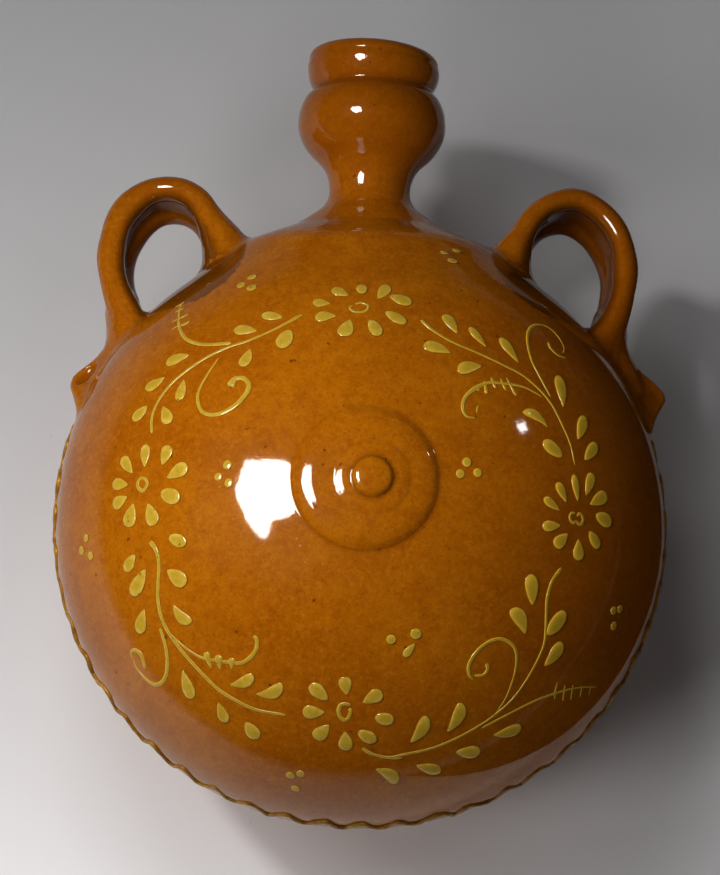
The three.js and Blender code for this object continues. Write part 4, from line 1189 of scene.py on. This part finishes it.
def slip_pieces(material, worn):
    """Sprays, hearts, petals and the edge wave stand for their CAD nodes; leaves and dots are trim of their own."""
    trail, drop = trail_tree(), drop_tree()
    made = []
    for name, strokes in SPRAYS.items():
        made.append((trails("slip_spray_" + name, strokes, *trail, material), ["spray_" + name]))
        made.append((drops("slip_leaves_" + name, LEAVES[name], *drop, material), []))
    for name, (heart, petals) in FLOWERS.items():
        steps, widths = HEARTS[name]
        line = [(heart[0] + a, heart[1] + b) for a, b in steps]
        made.append((trails("slip_heart_" + name, [(line, widths)], *trail, material), ["heart_" + name]))
        nodes = [f"petal_{name}_{n + 1}" for n in range(len(petals))]
        made.append((drops("slip_petals_" + name, petals, *drop, material), nodes))
    made.append((drops("slip_dots", DOTS, *drop, material), []))
    wave = grown("slip_edge_wave", bpy.data.meshes.new("wave_seed"), *wave_tree(), worn)
    made.append((wave, ["edge_wave"]))
    for obj, nodes in made:
        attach(obj, "root")
        if nodes:
            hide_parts(*nodes)
    return [obj for obj, _ in made]


# ---------------------------------------------------------------------------------------------------
# Table, light and camera, in metres

TABLE_HALF = 4.0
# a black card on the table right of the flask, seen only in the glaze's gloss: painted shade for the shaded table
# there
CARD = [(0.14, -0.6, 0.001), (1.2, -0.6, 0.001), (1.2, 0.6, 0.001), (0.14, 0.6, 0.001)]

# The bright window pane that the glaze mirrors: its outline round its middle, and the way its plane lies.
WINDOW_PLACE = (-0.714, 0.249, 1.558)
WINDOW_ACROSS = np.array([0.9026, 0.0, 0.4305])
WINDOW_UP = np.array([0.0686, 0.9872, -0.1439])
WINDOW = [
    (-0.193, 0.292), (-0.017, 0.3), (0.161, 0.285), (0.201, 0.117), (0.246, -0.165), (0.194, -0.221),
    (0.062, -0.244), (0.044, -0.316), (0.016, -0.389), (-0.045, -0.388), (-0.152, -0.231), (-0.229, -0.07),
    (-0.278, 0.066), (-0.24, 0.167),
]
WALL_REACH = 1.2
WALL_GAP = 0.02

# Soft panels: place, target, sides and power. Those for the table are set apart from those for the flask.
FLASK_TOP = (0.0, 0.0, 0.13)
TABLE_MIDDLE = (0.0, 0.0, 0.0)
FAR_WINDOW = ((0.97, 0.74, 0.9), FLASK_TOP, (0.04, 0.08), 0.3)
FLASK_LIGHTS = {
    "side_soft": ((-0.23, 0.035, 0.46), FLASK_TOP, (0.3, 0.3), 1.5),
    "over_soft": ((-0.13, 0.0, 0.9), FLASK_TOP, (0.6, 0.6), 1.6),
}
TABLE_LIGHTS = {
    "table_key": ((-1.01, 0.52, 1.22), TABLE_MIDDLE, (0.18, 0.18), 10.4),
    "table_far": ((-0.3, 0.7, 1.0), TABLE_MIDDLE, (0.5, 0.5), 3.9),
    "table_right": ((0.5, 0.3, 1.2), TABLE_MIDDLE, (0.6, 0.6), 1.1),
    "table_near": ((-0.5, -0.4, 0.5), TABLE_MIDDLE, (0.3, 0.3), 2.6),
    "table_left": ((-0.6, 0.1, 0.5), TABLE_MIDDLE, (0.3, 0.3), 1.6),
}
ROOM = (0.009, 0.009, 0.01, 1)
GAMMA = 0.85

# The camera, in degrees and millimetres: tilt off straight down, turn to the side and about its own axis, and
# its place from the middle of the body.
CAMERA_TILT, CAMERA_SIDE, CAMERA_TURN = 14.3, -1.1, 1.7
CAMERA_UP, CAMERA_BACK = 31.2, 3448.0
SENSOR, LENS, SIGHT = 36.0, 500.0, 30.0


def add_plate(name, corners, material, in_gloss_alone=True):
    """A flat plate of the stage. In gloss alone, it shows only where the glaze mirrors it."""
    mesh = bpy.data.meshes.new(name)
    mesh.from_pydata([tuple(float(v) for v in corner) for corner in corners], [], [tuple(range(len(corners)))])
    mesh.materials.append(material)
    obj = add_object(name, mesh)
    if in_gloss_alone:
        obj.visible_camera = obj.visible_diffuse = obj.visible_shadow = False
    return obj


def square(half):
    return [(-half, -half), (half, -half), (half, half), (-half, half)]


def add_window():
    """The window, and the wall round it a little behind."""
    def corners(outline, place):
        return [np.array(place) + a * WINDOW_ACROSS + b * WINDOW_UP for a, b in outline]

    behind = WINDOW_PLACE + np.cross(WINDOW_ACROSS, WINDOW_UP) * WALL_GAP
    add_plate("window", corners(WINDOW, WINDOW_PLACE), window_material())
    add_plate("window_wall", corners(square(WALL_REACH), behind), wall_material())


def add_light(name, place, target, size, power, mirrored=False):
    """A soft panel. A mirrored one is seen only in the gloss of the glaze; the others only light it."""
    light = bpy.data.lights.new(name, "AREA")
    light.shape = "RECTANGLE"
    light.size, light.size_y = size
    light.energy = power
    obj = add_object(name, light)
    obj.visible_glossy = mirrored
    obj.visible_diffuse = not mirrored
    obj.location = place
    obj.rotation_euler = (Vector(target) - Vector(place)).to_track_quat("-Z", "Y").to_euler()
    return obj


def light_only(lights, name, lit):
    """Lets lights fall on the given objects alone; everything still casts its shadow."""
    group = bpy.data.collections.new(name)
    for obj in lit:
        group.objects.link(obj)
    for light in lights:
        light.light_linking.receiver_collection = group


def add_lights(front, others, table):
    """Lights for the flask and for the table are set apart, so that each has its own balance."""
    light_only([add_light("far_window", *FAR_WINDOW, mirrored=True)], "lit_front", front)
    on_flask = [add_light(name, *panel) for name, panel in FLASK_LIGHTS.items()]
    on_table = [add_light(name, *panel) for name, panel in TABLE_LIGHTS.items()]
    light_only(on_flask, "lit_flask", front + others)
    light_only(on_table, "lit_table", [table])
    world = bpy.data.worlds.new("room")
    bpy.context.scene.world = world
    world.use_nodes = True
    world.node_tree.nodes.clear()
    s = Sheet(world.node_tree)
    shade = s.node("ShaderNodeBackground", {}, {"Color": ROOM, "Strength": 1.0})
    s.node("ShaderNodeOutputWorld", {}, {"Surface": shade})


def add_camera():
    """The photograph's view: nearly straight down on the boss, from a little to the near side, slightly turned."""
    tilt, side, turn = (math.radians(v) for v in (CAMERA_TILT, CAMERA_SIDE, CAMERA_TURN))
    back = np.array([math.sin(side), -math.sin(tilt), 0.0])
    back[2] = math.sqrt(1 - back @ back)
    right = np.cross([0, 1, 0], back)
    right /= np.linalg.norm(right)
    up = np.cross(back, right)
    c, s = math.cos(turn), math.sin(turn)
    right, up = c * right + s * up, c * up - s * right
    place = (MIDDLE + up * CAMERA_UP + back * CAMERA_BACK) * MM
    camera = bpy.data.cameras.new("camera")
    camera.sensor_fit = "HORIZONTAL"
    camera.sensor_width = SENSOR
    camera.lens = LENS
    camera.clip_end = SIGHT
    obj = add_object("camera", camera)
    obj.matrix_world = Matrix([[right[n], up[n], back[n], place[n]] for n in range(3)] + [[0, 0, 0, 1]])
    bpy.context.scene.camera = obj


body_objects = clay_pieces(glaze_material())
slip_objects = slip_pieces(slip_material(), worn_slip_material())
add_window()
# painted shade: a black card seen only in the glaze's gloss
add_plate("dark_card", CARD, shade_card_material())
table_corners = [(*corner, 0) for corner in square(TABLE_HALF)]
table_plate = add_plate("table", table_corners, table_material(), in_gloss_alone=False)
add_lights(body_objects[:1] + slip_objects, body_objects[1:], table_plate)
add_camera()
bpy.context.scene.view_settings.view_transform = "Standard"
bpy.context.scene.view_settings.gamma = GAMMA
